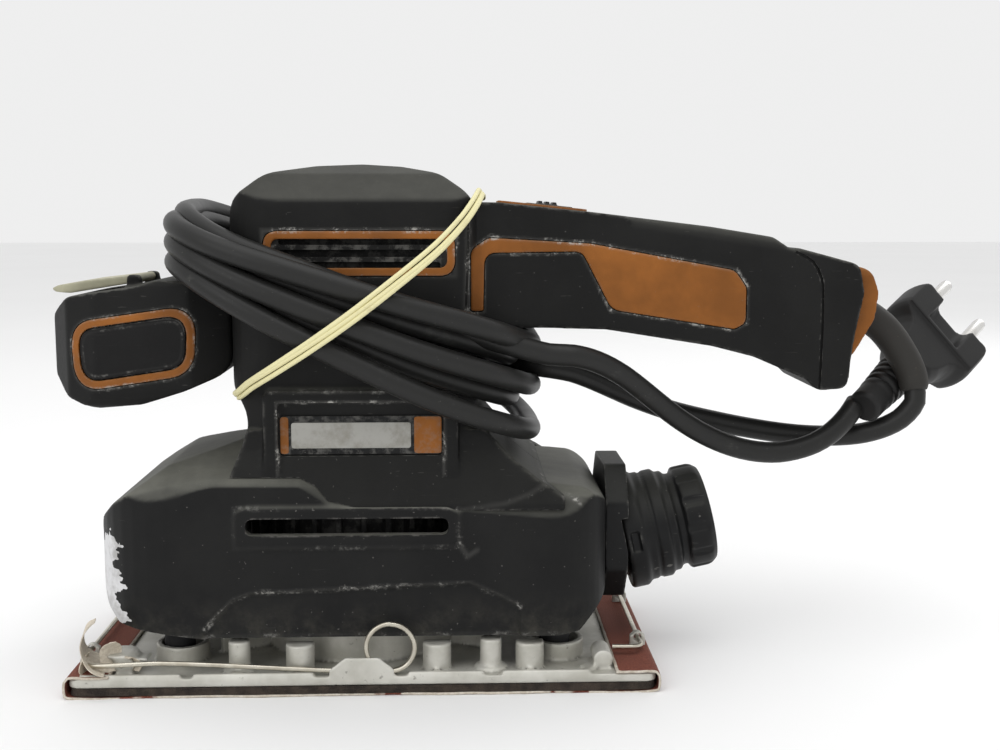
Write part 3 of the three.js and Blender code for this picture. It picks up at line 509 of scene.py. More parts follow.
def named(piece, name, sharp=35):
    """Names a finished mesh, and shades it smooth except across edges sharper than `sharp` degrees."""
    piece.name = name
    piece.data.name = name
    piece.data.polygons.foreach_set("use_smooth", [True] * len(piece.data.polygons))
    piece.data.set_sharp_from_angle(angle=math.radians(sharp))
    print(f"{name}: {len(piece.data.polygons)} faces")
    return piece


def edged(piece, width, steps=2):
    """Bevels the edges of a simple mesh that are sharper than 30 degrees."""
    bevel = piece.modifiers.new("edges", "BEVEL")
    bevel.width = width * MM
    bevel.segments = steps
    bevel.limit_method = "ANGLE"
    bevel.angle_limit = math.radians(30)
    return settle(piece)


def fitted(piece, body, slot, finish, *nodes):
    """Gives a piece its body and its finish, and lets it stand for its nodes. The slot is not used."""
    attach(piece, body)
    if nodes:
        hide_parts(*nodes)
    piece.data.materials.clear()
    piece.data.materials.append(finish)
    return piece


# %% [markdown]
# ## Shader arithmetic
# A worn surface is mostly arithmetic on noise: a mask is a noise above a level, and a colour is a
# blend by a mask. Written as nodes that is long, so one small class wraps a socket and turns Python's
# operators into Math nodes. Colours are blended by a Mix node, because a Math node would turn them
# grey. Everything that varies ends in the base colour, the roughness or a bump.

# %% Sockets as values
class Wire:
    """A shader socket on which Python arithmetic adds Math nodes."""

    def __init__(self, finish, socket):
        self.finish = finish
        self.socket = socket

    def maths(self, operation, first, second, clamp=False):
        settings = {"operation": operation, "use_clamp": clamp}
        return self.finish.node("Math", settings, {0: first, 1: second})

    def __add__(self, other):
        return self.maths("ADD", self, other)

    def __radd__(self, other):
        return self.maths("ADD", other, self)

    def __sub__(self, other):
        return self.maths("SUBTRACT", self, other)

    def __rsub__(self, other):
        return self.maths("SUBTRACT", other, self)

    def __mul__(self, other):
        return self.maths("MULTIPLY", self, other)

    def __rmul__(self, other):
        return self.maths("MULTIPLY", other, self)

    def clamped(self):
        return self.maths("ADD", self, 0.0, clamp=True)

    def between(self, low, high):
        """0 below low, 1 above high and smooth between them. It falls instead if low is above high."""
        ends = (0.0, 1.0) if low < high else (1.0, 0.0)
        inputs = {0: self, 1: min(low, high), 2: max(low, high), 3: ends[0], 4: ends[1]}
        return self.finish.node("MapRange", {"interpolation_type": "SMOOTHSTEP"}, inputs)


class Finish:
    """A material under construction."""

    def __init__(self, name):
        self.material = bpy.data.materials.new(name)
        self.material.use_nodes = True
        self.tree = self.material.node_tree
        self.tree.nodes.clear()
        self.position = self.node("TexCoord", output="Object")

    def node(self, kind, settings=None, inputs=None, output=0):
        """Adds a node: first its settings, then the values or links of its sockets."""
        made = self.tree.nodes.new("ShaderNode" + kind)
        for key, value in (settings or {}).items():
            setattr(made, key, value)
        for key, value in (inputs or {}).items():
            if isinstance(value, Wire):
                self.tree.links.new(value.socket, made.inputs[key])
            else:
                made.inputs[key].default_value = value
        return Wire(self, made.outputs[output])

    def noise(self, scale, detail=3.0, rough=0.55, at=None, distortion=0.0):
        inputs = {"Vector": at or self.position, "Scale": scale, "Detail": detail, "Roughness": rough}
        return self.node("TexNoise", None, {**inputs, "Distortion": distortion})

    def stretched(self, scale):
        """The position, scaled by a different amount along each axis."""
        return self.node("VectorMath", {"operation": "MULTIPLY"}, {0: self.position, 1: scale})

    def axis(self, name):
        return self.node("SeparateXYZ", None, {0: self.position}, output=name)

    def blend(self, share, first, second):
        """A colour that goes from the first to the second as share goes from 0 to 1."""
        return self.node("Mix", {"data_type": "RGBA"}, {0: share, 6: first, 7: second}, output=2)

    def edges(self):
        """Above 0.5 on outward edges and below it in inward ones."""
        return self.node("NewGeometry", output="Pointiness")

    def facing_up(self):
        normal = self.node("NewGeometry", output="Normal")
        return self.node("SeparateXYZ", None, {0: normal}, output="Z")

    def painted(self, name):
        """A value that was painted on the mesh's points."""
        return self.node("Attribute", {"attribute_name": name}, output="Fac")

    def bump(self, height, strength, distance):
        inputs = {"Height": height, "Strength": strength, "Distance": distance * MM}
        return self.node("Bump", None, inputs, output="Normal")

    def done(self, colour, roughness, normal=None, **fixed):
        """Ends the material in one shader. `fixed` holds the numbers that are the same all over."""
        inputs = {"Base Color": colour, "Roughness": roughness}
        if normal:
            inputs["Normal"] = normal
        inputs.update({key.replace("_", " "): value for key, value in fixed.items()})
        shader = self.node("BsdfPrincipled", None, inputs)
        end = self.tree.nodes.new("ShaderNodeOutputMaterial")
        self.tree.links.new(shader.socket, end.inputs["Surface"])
        return self.material


def rgb(r, g, b):
    return (r, g, b, 1.0)


# %% [markdown]
# ## Moulded plastic
# The housings are glass-filled nylon that has spent years in a workshop. From close by it has a fine
# grain. Pale dust has settled where it faces up, and the same faces are lightened further as a painted
# sheen. Handling has polished patches, edges are rubbed light, and small nicks and hair scratches catch
# the light. All of it is noise at different scales: about 0.5 mm for the grain, 5 to 20 mm for the
# patches, and long thin noise for the scratches.

# %% Plastic finishes
def handled(f):
    """The marks of use that the mouldings share: patches, fine grain, scratches, rubs and nicks."""
    patches = f.noise(38, 4, 0.6)
    grain = f.noise(2100, 2, 0.5)
    fine = f.noise(620, 3, 0.6)
    scratches = f.noise(55, 4, 0.7, f.stretched((1, 1, 26)), 0.4).between(0.685, 0.72)
    rubbed = f.edges().between(0.515, 0.56) * f.noise(240, 4, 0.7).between(0.44, 0.62)
    chips = f.noise(150, 5, 0.7).between(0.5, 0.6) * f.noise(800, 4, 0.75).between(0.42, 0.6)
    scuffed = (f.painted("scuff") * (0.08 + 1.1 * chips)).clamped()
    return patches, grain, fine, scratches, rubbed, scuffed


def scaled(colour, share):
    return rgb(*[share * channel for channel in colour[:3]])


BARE = rgb(0.20, 0.195, 0.18)            # plastic where it is rubbed
CHALKY = rgb(0.46, 0.45, 0.42)           # plastic where it is scuffed
GRAIN_STRENGTH = 0.32
GRAIN_DEPTH = 0.12


def moulded(name, colour, dust_and_sheen_colour, roughness=0.56, dust=0.7, wear=0.4, marks=0.5, shine=0.17):
    f = Finish(name)
    patches, grain, fine, scratches, rubbed, scuffed = handled(f)
    # Upward faces are lightened towards the pale colour: partly real dust, partly painted sheen where the
    # light falls on them.
    dust_and_sheen = f.facing_up().between(0.15, 0.95) * (0.35 + 0.9 * f.noise(70, 5, 0.65))
    short_ones = f.noise(420, 2, 0.5, f.stretched((0.35, 1, 2.4))).between(0.735, 0.76)
    nicks = f.noise(900, 1, 0.5).between(0.77, 0.8)
    tone = f.blend(patches.between(0.3, 0.75), scaled(colour, 0.72), scaled(colour, 1.25))
    tone = f.blend((dust_and_sheen * dust).clamped(), tone, dust_and_sheen_colour)
    lines = (scratches * 0.16 + short_ones * 0.25 + nicks * 0.5) * marks
    tone = f.blend((lines + rubbed * wear).clamped(), tone, BARE)
    tone = f.blend(scuffed, tone, CHALKY)
    gloss = roughness + 0.16 * (patches - 0.5) + 0.12 * (fine - 0.5) + 0.14 * dust_and_sheen
    height = grain * 0.5 + fine * 0.35 - scratches * 0.5 - nicks * 0.8
    bump = f.bump(height, GRAIN_STRENGTH, GRAIN_DEPTH)
    return f.done(tone, gloss.clamped(), bump, Specular_IOR_Level=shine)


# The numbers are roughness, dust and painted sheen on upward faces, wear and marks.
charcoal = moulded("charcoal_moulding", rgb(0.0076, 0.0076, 0.0073), rgb(0.10, 0.10, 0.087), dust=0.6)
black_moulding = moulded(
    "black_moulding", rgb(0.0085, 0.0087, 0.009), rgb(0.07, 0.07, 0.062), 0.42, 0.5, 0.5, 0.9
)
grip_panel = moulded("grip_panel", rgb(0.0074, 0.0072, 0.0073), rgb(0.06, 0.058, 0.052), 0.6, 0.3, 0.4, 0.3)
orange = moulded("orange_moulding", rgb(0.25, 0.088, 0.0165), rgb(0.34, 0.17, 0.06), 0.5, 0.4, 0.3, 0.25)
lever_plastic = moulded("lever_plastic", rgb(0.42, 0.405, 0.29), rgb(0.52, 0.50, 0.40), 0.5, 0.4, 0.3, 0.6)
print("plastic finishes:", len(bpy.data.materials))

# %% [markdown]
# ## Metals, rubber, foam and abrasive
# The platen is a die casting: dull, slightly grainy and stained in its corners. The clamp wire is
# drawn steel with a thin tarnish. The lead has a satin rubber sheath that picks up pale dust, the
# backing pad is open foam, and the torn scraps of the sheet show its cream paper.

# %% Metal finishes
def cast_metal():
    f = Finish("cast_aluminium")
    skin = f.noise(900, 4, 0.65)
    cloud = f.noise(60, 4, 0.6)
    corners = f.edges().between(0.5, 0.44) * f.noise(130, 4, 0.6).between(0.3, 0.6)
    bright = f.edges().between(0.53, 0.6)
    tone = f.blend(cloud.between(0.3, 0.7), rgb(0.43, 0.42, 0.37), rgb(0.60, 0.59, 0.54))
    tone = f.blend((corners * 0.85).clamped(), tone, rgb(0.065, 0.06, 0.045))
    tone = f.blend((bright * 0.5).clamped(), tone, rgb(0.66, 0.66, 0.63))
    tone = f.blend(f.noise(420, 3, 0.6).between(0.66, 0.74) * 0.6, tone, rgb(0.16, 0.15, 0.13))
    gloss = 0.5 + 0.25 * (skin - 0.5) + 0.1 * corners
    return f.done(tone, gloss.clamped(), f.bump(skin, 0.35, 0.15), Metallic=0.45)


def bare_metal(name, colour, stain, roughness, metallic=1.0, stain_share=0.5):
    f = Finish(name)
    cloud = f.noise(170, 4, 0.65)
    fine = f.noise(1500, 3, 0.6)
    tone = f.blend(cloud.between(0.4, 0.75) * stain_share, colour, stain)
    gloss = roughness + 0.2 * (cloud - 0.4) + 0.15 * (fine - 0.5)
    return f.done(tone, gloss.clamped(), f.bump(fine, 0.15, 0.05), Metallic=metallic)


casting = cast_metal()
wire = bare_metal("clamp_wire", rgb(0.56, 0.53, 0.45), rgb(0.27, 0.23, 0.17), 0.28)
nickel = bare_metal("plug_nickel", rgb(0.72, 0.71, 0.69), rgb(0.5, 0.48, 0.44), 0.2)
steel = bare_metal("machined_steel", rgb(0.5, 0.5, 0.5), rgb(0.28, 0.27, 0.25), 0.35)
copper = bare_metal("winding_copper", rgb(0.55, 0.23, 0.1), rgb(0.25, 0.1, 0.05), 0.35)
brass = bare_metal("holder_brass", rgb(0.6, 0.44, 0.18), rgb(0.35, 0.25, 0.1), 0.35)
carbon = bare_metal("brush_carbon", rgb(0.02, 0.02, 0.022), rgb(0.04, 0.04, 0.045), 0.6, 0.0)


# %% Rubber, foam, paper
def rubber(name, colour, pale, roughness, dusty, marks):
    f = Finish(name)
    cloud = f.noise(90, 5, 0.65)
    fine = f.noise(1300, 3, 0.6)
    specks = f.noise(1600, 1, 0.5).between(0.76, 0.79)
    smears = f.noise(60, 5, 0.75, f.stretched((1, 1, 1.6))).between(0.58, 0.78)
    tone = f.blend((smears * dusty + specks * marks).clamped(), colour, pale)
    gloss = roughness + 0.2 * (cloud - 0.5) + 0.2 * smears * dusty
    return f.done(tone, gloss.clamped(), f.bump(fine + 0.6 * cloud, 0.22, 0.1), Specular_IOR_Level=0.25)


def open_foam():
    f = Finish("backing_foam")
    cells = f.node("TexVoronoi", None, {"Vector": f.position, "Scale": 1500.0})
    tone = f.blend(f.noise(260, 3).between(0.3, 0.7), rgb(0.016, 0.011, 0.008), rgb(0.045, 0.033, 0.024))
    return f.done(tone, 0.95, f.bump(cells, 0.8, 0.4))


def sheet_paper():
    f = Finish("sheet_paper")
    fibres = f.noise(900, 5, 0.7)
    dirt = f.noise(75, 5, 0.65).between(0.45, 0.8)
    tone = f.blend(fibres.between(0.3, 0.7), rgb(0.50, 0.44, 0.35), rgb(0.68, 0.62, 0.52))
    tone = f.blend(dirt * 0.6, tone, rgb(0.20, 0.16, 0.12))
    return f.done(tone, 0.85, f.bump(fibres, 0.3, 0.15))


sheath = rubber("lead_sheath", rgb(0.0155, 0.0155, 0.0148), rgb(0.11, 0.11, 0.10), 0.4, 0.28, 0.6)
boot_rubber = rubber("boot_rubber", rgb(0.026, 0.0245, 0.022), rgb(0.115, 0.095, 0.068), 0.6, 0.8, 0.5)
plug_rubber = rubber("plug_rubber", rgb(0.0105, 0.0103, 0.0102), rgb(0.085, 0.072, 0.055), 0.5, 0.5, 0.6)
band_rubber = rubber("band_rubber", rgb(0.74, 0.69, 0.40), rgb(0.44, 0.38, 0.215), 0.6, 0.6, 0.5)
leg_rubber = rubber("leg_rubber", rgb(0.015, 0.015, 0.016), rgb(0.07, 0.068, 0.06), 0.65, 0.5, 0.2)
foam = open_foam()
paper = sheet_paper()
print("finishes:", len(bpy.data.materials))

# %% [markdown]
# ## Upper housing
# The real upper housing is two half shells, left and right, screwed together. Each carries half of the
# motor housing, the neck with its flared foot, and the rear handle. Each block below is what its side
# outline, its end outline and its plan have in common. The blocks are joined and softened as one, so
# that they flow into each other, and the result is then halved, hollowed and cut.

# %% Outlines of the upper housing
MOTOR_SIDE = [
    (-37, 70), (36.3, 70), (36.3, 156.6), (24.4, 164.9), (12, 167.3), (-1, 168.2), (-16, 167.5),
    (-31, 164.9), (-41, 156.2), (-43, 150.2), (-43, 97), (-37, 90),
]
MOTOR_END = mirrored([(36.5, 70), (36.5, 156.2), (25, 164.7), (8, 168.2)])
HANDLE_SIDE = [
    (24.3, 116), (60, 115), (79, 114.2), (114, 108.6), (128, 105), (145.8, 97.3), (149.4, 93.7),
    (159.9, 94), (161, 105), (162.2, 113), (164.8, 126), (163, 135.3), (142, 140.9), (139.3, 140.6),
    (134, 144.4), (113.2, 147.8), (74.4, 152.5), (43.7, 155.6), (24.3, 155.8),
]
HANDLE_PLAN = [
    (20, -30), (38, -29), (60, -24), (80, -21.5), (150, -21.5), (168, -19.5),
    (168, 19.5), (150, 21.5), (80, 21.5), (60, 24), (38, 29), (20, 30),
]
HANDLE_TILT = 0.148
HANDLE_START = -75         # along the handle from its middle
HANDLE_HALF = 21.5
ROOT_HALF = 29             # half the handle's width next to the motor housing
FOOT_SIDE = [
    (-42, 58.6), (64, 58.6), (64, 63), (56, 68), (46, 76), (39, 84), (-37, 84), (-38, 80), (-42, 70),
]
FOOT_END = mirrored([(42.3, 50), (42.3, 60), (40, 68), (37, 78), (36.5, 84)])
WALL = 2.6
WIDE = 60                  # half the width of a tool that cuts right across


# %% Bodies of the upper housing
def plan_corners(front, rear, half, front_radius, rear_radius):
    """A plan that is rounded more at its front end than at its rear end."""
    return [
        (front, -half, front_radius), (rear, -half, rear_radius), (rear, half, rear_radius),
        (front, half, front_radius),
    ]


def motor_body(grow=0.0):
    plan = rounded(plan_corners(-43, 36.3, 36.5, 18, 9), 9, 8)
    return cross(
        block(rounded(grown(MOTOR_SIDE, grow), 14, 6), "y", -WIDE, WIDE),
        block(rounded(grown(MOTOR_END, grow), 2.5, 4), "x", -WIDE, WIDE),
        block(grown(plan, grow), "z", 40, 180),
    )


def handle_bar(half, grow, length):
    section = rounded(box2d(-half - grow, half + grow, -34, 21.6 + grow), 9, 6)
    lean = set_at(92, 0, 131, HANDLE_TILT, "Y")
    return moved(block(section, "x", HANDLE_START, HANDLE_START + length), lean)


def handle_body(grow=0.0):
    grasp = join(handle_bar(HANDLE_HALF, grow, 150), handle_bar(ROOT_HALF, grow, 66))
    plan = block(grown(HANDLE_PLAN, grow), "z", 70, 180)
    return cross(block(rounded(grown(HANDLE_SIDE, grow), 4, 5), "y", -WIDE, WIDE), plan, grasp)


def foot_body():
    return cross(block(FOOT_SIDE, "y", -WIDE, WIDE), block(FOOT_END, "x", -80, 90))


SKIRT_HALF = 42
DECK_SIDE = [
    (-88, 0), (79, 0), (79, 60), (71, 64.6), (42, 67.7), (-40, 77.5), (-64, 71), (-80, 60.4), (-86, 54),
    (-88, 47),
]
WALL_TOPS = (          # how high the skirt's side wall reaches, from the front end to the rear
    (-110, 42), (-88, 49.5), (-76.6, 55.8), (-69.6, 59.3), (-61.7, 62.7), (-53.9, 65.5), (-47, 67.2),
    (-20, 67), (-10.9, 61), (-1, 59.6), (32, 58.6), (60, 56), (79, 54), (100, 54),
)


def skirt_end(top, grow):
    """The skirt's end outline where its side wall is `top` high."""
    over = top - 54
    half = [
        (SKIRT_HALF, 0), (SKIRT_HALF, top), (38 + 0.115 * over, top + 8 - 0.46 * over),
        (22, 71 + 0.19 * over), (8, 77.6),
    ]
    return grown(mirrored(half), grow)


def skirt_body(grow=0.0):
    plan = rounded(plan_corners(-88, 79, SKIRT_HALF, 31, 20), 20, 10)
    return cross(
        loft([(x, skirt_end(top, grow)) for x, top in WALL_TOPS]),
        block(rounded(grown(DECK_SIDE, grow), 8, 5), "y", -WIDE, WIDE),
        block(grown(plan, grow), "z", 10, 150),
    )


# %% The softened blank of the upper housing
PLATE_WINDOW = (-26.6, 25.5, 75.9, 93.0)


def both_sides(outline, near, far):
    """A tool on each side of the housing, from near to far off its middle plane."""
    return join(block(outline, "y", near, far), block(outline, "y", -far, -near))


FRAME_DEPTH = (30, 39.6)   # of the frame round the name plate, off the middle plane

frame_outline = rounded(box2d(-31.3, 30.2, 68.5, 97), 3, 4)
opening = rounded(box2d(PLATE_WINDOW[0], PLATE_WINDOW[1], 60, PLATE_WINDOW[3]), 2.2, 4)
window_outline = rounded(box2d(*PLATE_WINDOW), 1.6, 4)
plate_frame = cut(both_sides(frame_outline, *FRAME_DEPTH), both_sides(opening, 20, WIDE))
blank = join(motor_body(), handle_body(), foot_body(), plate_frame)
blank = soften(blank, 0.7, 5)
print("blank of the upper housing:", len(blank.data.polygons), "faces")


# %% [markdown]
# The vents are three louvre slots in a shallow recess. The switch, the orange inlays and the name
# plates sit in pockets. The handle's end is a separate moulding on the real tool; a groove shows it.

# %% Tools that cut the upper housing
VENT = (-30.4, 29.4, 132.7, 146.7)
VENT_BAND = 2.5
INLAY_SIDE = [
    (34.4, 121, 0.8), (38.4, 121, 0.8), (38.8, 139.6, 4), (70.6, 139.8, 4), (80.6, 120.8, 6),
    (121.3, 114.3, 3), (124.9, 116.4, 3), (124.9, 128, 4), (121, 133.6, 5), (73.2, 142.4, 6),
    (40, 144.4, 5), (34.4, 140.6, 4),
]
GAP = 0.3
POCKET = 1.5               # depth of the trims' pockets
SWITCH_AT = set_at(58.5, 0, 154.1, 0.101, "Y")
COLLAR_BORE = set_at(158, 0, 123.5, math.pi / 2 + 0.432, "Y")
MOTOR_AXIS = (-4, 0)
LOUVRE_HEIGHTS = (135.9, 139.7, 143.5)
LOUVRE_INSET = 4.6
LOUVRE_HALF = 1.15


def skin_pocket(body, outline, depth, grow):
    """Everything inside the outline on both sides, down to `depth` below the skin."""
    return cut(block(grown(outline, grow), "y", -WIDE, WIDE), body(-depth))


def vent_outline(grow=0.0):
    x0, x1, z0, z1 = VENT
    return rounded(box2d(x0 - grow, x1 + grow, z0 - grow, z1 + grow), 5 + grow, 8)


def seam(route, width, near):
    return both_sides(groove_outline(smooth_line(route, 2.5), width), near, WIDE)


inlay_outline = rounded(INLAY_SIDE, 3, 6)
REAR_SEAM = [(141, 139.6), (146.6, 136.4), (149.6, 131), (150.3, 124), (150.2, 104), (149.8, 92)]
SIDE_SEAM = [(33.6, 153.5), (33.4, 140), (32.9, 126), (32.2, 112)]
cavity = join(motor_body(-WALL), handle_body(-WALL), cylinder(*MOTOR_AXIS, 31, 17, 81))
upper_tools = [
    skirt_body(0.35),
    skin_pocket(motor_body, vent_outline(), POCKET, GAP),
    skin_pocket(handle_body, inlay_outline, POCKET, GAP),
    both_sides(window_outline, 36.6, WIDE),
    seam(REAR_SEAM, 0.9, 20.6),
    seam(SIDE_SEAM, 0.8, 34.0),
    moved(block(rounded(box2d(-15.3, 15.3, -13.8, 13.8), 5.2, 5), "z", -1.6, 10), SWITCH_AT),
    moved(block(box2d(-8, 8, -6, 6), "z", -12, 1), SWITCH_AT),
    moved(cylinder(0, 0, 5.5, -14, 20), COLLAR_BORE),
]
for z in LOUVRE_HEIGHTS:
    slot = box2d(VENT[0] + LOUVRE_INSET, VENT[1] - LOUVRE_INSET, z - LOUVRE_HALF, z + LOUVRE_HALF)
    upper_tools.append(block(rounded(slot, 1, 4), "y", -WIDE, WIDE))


# %% The two half shells
SCREW_HOLES = [(-36.4, 105), (29.6, 88), (92, 119), (137, 128)]
SCREW_HOLE_R = 3.1
HALF_SEAM = 0.12           # half the gap between the two shells


def half_shell(side, name):
    shell = place(name, blank.data.copy())
    cross(shell, block(box2d(-200, 200, *span(side, HALF_SEAM, WIDE)), "z", -10, 200))
    for tool in [cavity] + upper_tools:
        cut(shell, place("tool", tool.data.copy()))
    if side > 0:
        cut(shell, *[crosswise(x, z, SCREW_HOLE_R, 13, WIDE) for x, z in SCREW_HOLES])
    return named(shell, name)


shells = {word: half_shell(side, f"upper_housing_{word}") for side, word in SIDES}
for used in [blank, cavity] + upper_tools:
    bpy.data.objects.remove(used)


# %% [markdown]
# ## Painted wear
# Some wear is in one place only: a rubbed outer edge, a smear, peeled paint. Those places are painted
# on the mesh as one number for each point, which the finish reads. Every mesh that takes the finish
# carries that number, so that it has the same meaning everywhere.

# %% Painting points
def painted(piece, value, name="scuff"):
    """Stores value(points in millimetres) on the points of a mesh, or 0 everywhere."""
    count = len(piece.data.vertices)
    spots = np.zeros(count * 3)
    piece.data.vertices.foreach_get("co", spots)
    amounts = np.zeros(count) if value is None else np.clip(value(spots.reshape(-1, 3) / MM), 0, 1)
    layer = piece.data.attributes.new(name, "FLOAT", "POINT")
    layer.data.foreach_set("value", amounts.astype(float))
    return piece


def near_box(points, x0, x1, z0, z1, reach):
    """1 on the outline of a box in the side view, falling to 0 over `reach`."""
    x, z = points[:, 0], points[:, 2]
    outside = np.maximum(np.maximum(x0 - x, x - x1), np.maximum(z0 - z, z - z1))
    return 1 - np.abs(outside) / reach


def near_line(points, route, reach):
    """1 on a line in the side view, falling to 0 over `reach`."""
    x, z = points[:, 0], points[:, 2]
    best = np.full(len(points), np.inf)
    for (ax, az), (bx, bz) in zip(route, route[1:]):
        dx, dz = bx - ax, bz - az
        t = np.clip(((x - ax) * dx + (z - az) * dz) / (dx * dx + dz * dz), 0, 1)
        best = np.minimum(best, np.hypot(x - ax - t * dx, z - az - t * dz))
    return 1 - best / reach


def housing_scuffs(p):
    inlay = near_line(p, [o[:2] for o in INLAY_SIDE + INLAY_SIDE[:1]], 1.1)
    vent = near_box(p, *VENT, 1.2) * np.where(p[:, 2] > 140, 1.2, 0.6)
    plate = near_line(p, [(-26.8, 70), (-26.8, 93.2), (25.6, 93.2), (25.6, 70)], 0.8) * 0.9
    top_edge = near_line(p, [(-29, 96.6), (28, 96.6)], 0.8) * 0.5
    seam_line = near_line(p, SIDE_SEAM, 1.4) * 0.75
    foot = near_line(p, [(30, 59), (45, 61), (53, 64), (61, 69)], 1.2) * 0.5
    return np.maximum.reduce([inlay, vent, plate, top_edge, seam_line, foot])


for word, shell in shells.items():
    painted(shell, housing_scuffs)
    fitted(shell, "housing", "body_plastic", charcoal, f"motor_shell_{word}")


# %% Painted shade screen behind the louvres
# A thin near-black screen inside the wall: painted shade, so that the vents look into the dark.
SHADE_SCREEN_DEPTHS = (0.5, 1.4)  # inside the wall
AROUND_VENT = box2d(-60, 60, 120, 160)

shade_screen = cross(motor_body(-WALL - SHADE_SCREEN_DEPTHS[0]), block(box2d(-33, 30, 131, 148.5), "y", -WIDE, WIDE))
cut(shade_screen, motor_body(-WALL - SHADE_SCREEN_DEPTHS[1]), block(AROUND_VENT, "y", -24, 24))
# The screen's near-black finish is painted shade behind the louvres. The fan chamber wall takes it too.
shade_screen_finish = moulded("shade_screen_black", rgb(0.006, 0.006, 0.006), rgb(0.01, 0.01, 0.01), 0.8, 0.2, 0.1, 0.1, 0.1)
for side, word in SIDES:
    half = place("half", shade_screen.data.copy())
    cross(half, block(AROUND_VENT, "y", *span(side, 20, 40)))
    fitted(painted(named(half, f"shade_screen_black_{word}"), None), "housing", "body_plastic", shade_screen_finish)
bpy.data.objects.remove(shade_screen)


# %% [markdown]
# ## Orange trims and name plates
# Each trim is the skin of the same body inside the trim's outline, 0.3 mm proud, so it follows the
# curve of its housing. The name plates keep their dark recess and orange ends, and are otherwise plain.

# %% Trims
def skin_piece(body, outer, inner, side, proud=0.3, depth=1.2):
    """The skin of a body inside one outline and outside another, on one side."""
    piece = cross(body(proud), block(outer, "y", *span(side, 0, WIDE)))
    cut(piece, body(-depth))
    if inner:
        cut(piece, block(inner, "y", -WIDE, WIDE))
    return soften(piece, 0.36, 3)


def inlay_wear(p):
    return near_line(p, [(34.4, 140.6), (40, 144.4), (73.2, 142.4), (121, 133.6)], 1.0) * 0.9


def vent_wear(p):
    return near_box(p, *VENT, 1.0) * 0.8


for side, word in SIDES:
    vent = skin_piece(motor_body, vent_outline(), vent_outline(-VENT_BAND), side)
    painted(named(vent, f"vent_surround_{word}"), vent_wear)
    fitted(vent, "housing", "orange_trim", orange, f"vent_trim_{word}")
    inlay = skin_piece(handle_body, inlay_outline, None, side)
    painted(named(inlay, f"handle_trim_{word}"), inlay_wear)
    fitted(inlay, "housing", "orange_trim", orange, f"handle_inlay_{word}")


# %% Name plates
def plate_piece(box, corner, depth, bevel, side, name):
    """A flat plate with the box as its outline; `depth` is from its back to its face."""
    piece = block(rounded(box2d(*box), corner, 3), "y", *span(side, *depth))
    return painted(named(edged(piece, bevel), name), None)


plate_metal = bare_metal("plate_metal", rgb(0.325, 0.32, 0.295), rgb(0.2, 0.19, 0.16), 0.42, 0.25, 0.8)
for side, word in SIDES:
    back = plate_piece((-26.1, 25.0, 76.4, 88.6), 1.2, (36.8, 37.4), 0.2, side, f"name_plate_{word}")
    fitted(back, "housing", "body_plastic", black_moulding, f"badge_{word}")
    strip = plate_piece((-22.5, 15.2, 78.4, 86.6), 0.9, (37.3, 38.0), 0.25, side, f"plate_bar_{word}")
    fitted(strip, "housing", "name_plate", plate_metal)
    for end, x0, x1 in (("front", -26.0, -23.4), ("rear", 16.2, 24.9)):
        flag = plate_piece((x0, x1, 76.6, 88.4), 1, (37.2, 37.7), 0.2, side, f"plate_flag_{end}_{word}")
        fitted(flag, "housing", "orange_trim", orange)


# %% [markdown]
# ## Switch and end collar
# The slide switch is a dark ridged slider in an orange frame, let into the top of the handle. The
# collar closes the handle where the boot comes out. It is turned towards the cord, so the frame
# leans it with the bore.

# %% Switch
bezel = block(rounded(box2d(-15, 15, -13.5, 13.5), 5, 8), "z", -1.3, 0.8)
cut(bezel, block(rounded(box2d(-10.8, 10.8, -7.5, 7.5), 1.5, 4), "z", -5, 5))
bezel = moved(named(soften(bezel, 0.4, 3), "switch_frame"), SWITCH_AT)
fitted(painted(bezel, None), "housing", "orange_trim", orange, "switch_bezel")

RIDGE_STARTS = (-1.2, 1.2, 3.6)
RIDGE_WIDE = 1.4

slider = block(rounded(box2d(-5.4, 10.4, -7.1, 7.1), 1, 3), "z", -1.2, 1.1)
join(slider, *[block(box2d(x, x + RIDGE_WIDE, -5.5, 5.5), "z", 1.0, 2.1) for x in RIDGE_STARTS])
slider = moved(named(soften(slider, 0.3, 3), "slide_switch"), SWITCH_AT)
fitted(painted(slider, None), "switch", "body_plastic", black_moulding, "switch_slider")

# %% End collar
COLLAR_SIDE = [
    (158, 107), (161, 103.5), (163.2, 105.6), (169.7, 117.1), (170.8, 125.8), (168.4, 133.4), (158, 136),
]
collar = cross(
    block(rounded(COLLAR_SIDE, 6, 5), "y", -16, 16),
    block(rounded(box2d(-16, 16, 100, 137), 8, 6), "x", 150, 175),
)
cut(collar, handle_body(0.3))
collar = soften(collar, 0.5, 5)
cut(collar, moved(cylinder(0, 0, 5.4, -14, 20), COLLAR_BORE))
named(collar, "end_collar")
fitted(painted(collar, None), "housing", "orange_trim", orange, "handle_end_collar")

# %% [markdown]
# ## Front grip
# The knob at the nose is a hollow moulding with a long octagonal panel on each side, ringed in
# orange. The light flat lever on its top locks the grip. It hinges at the end next to the housing.

# %% Outlines of the grip
GRIP_SIDE = [
    (-43.4, 101), (-43.4, 130), (-67, 131), (-73, 128.8), (-95.5, 125.6), (-103.2, 119.6),
    (-105.6, 109.8), (-103.6, 99.8), (-97.5, 93.2), (-87, 89.2), (-72, 90.6), (-58.2, 95),
]
GRIP_PLAN = [
    (-42.4, -20), (-42.4, 20), (-56, 28), (-86, 27.6), (-96, 22.5), (-103, 11.5), (-105.8, 0),
    (-103, -11.5), (-96, -22.5), (-86, -27.6), (-56, -28),
]
RING_SIDE = [(-94.4, 117.4), (-93.4, 94.9), (-54.6, 100.8), (-53.4, 123.2)]
RING_BAND = 2.5
TAB_HALF = 11.5
GRIP_HALF = 28
GRIP_REAR = -43.4          # the face next to the motor housing


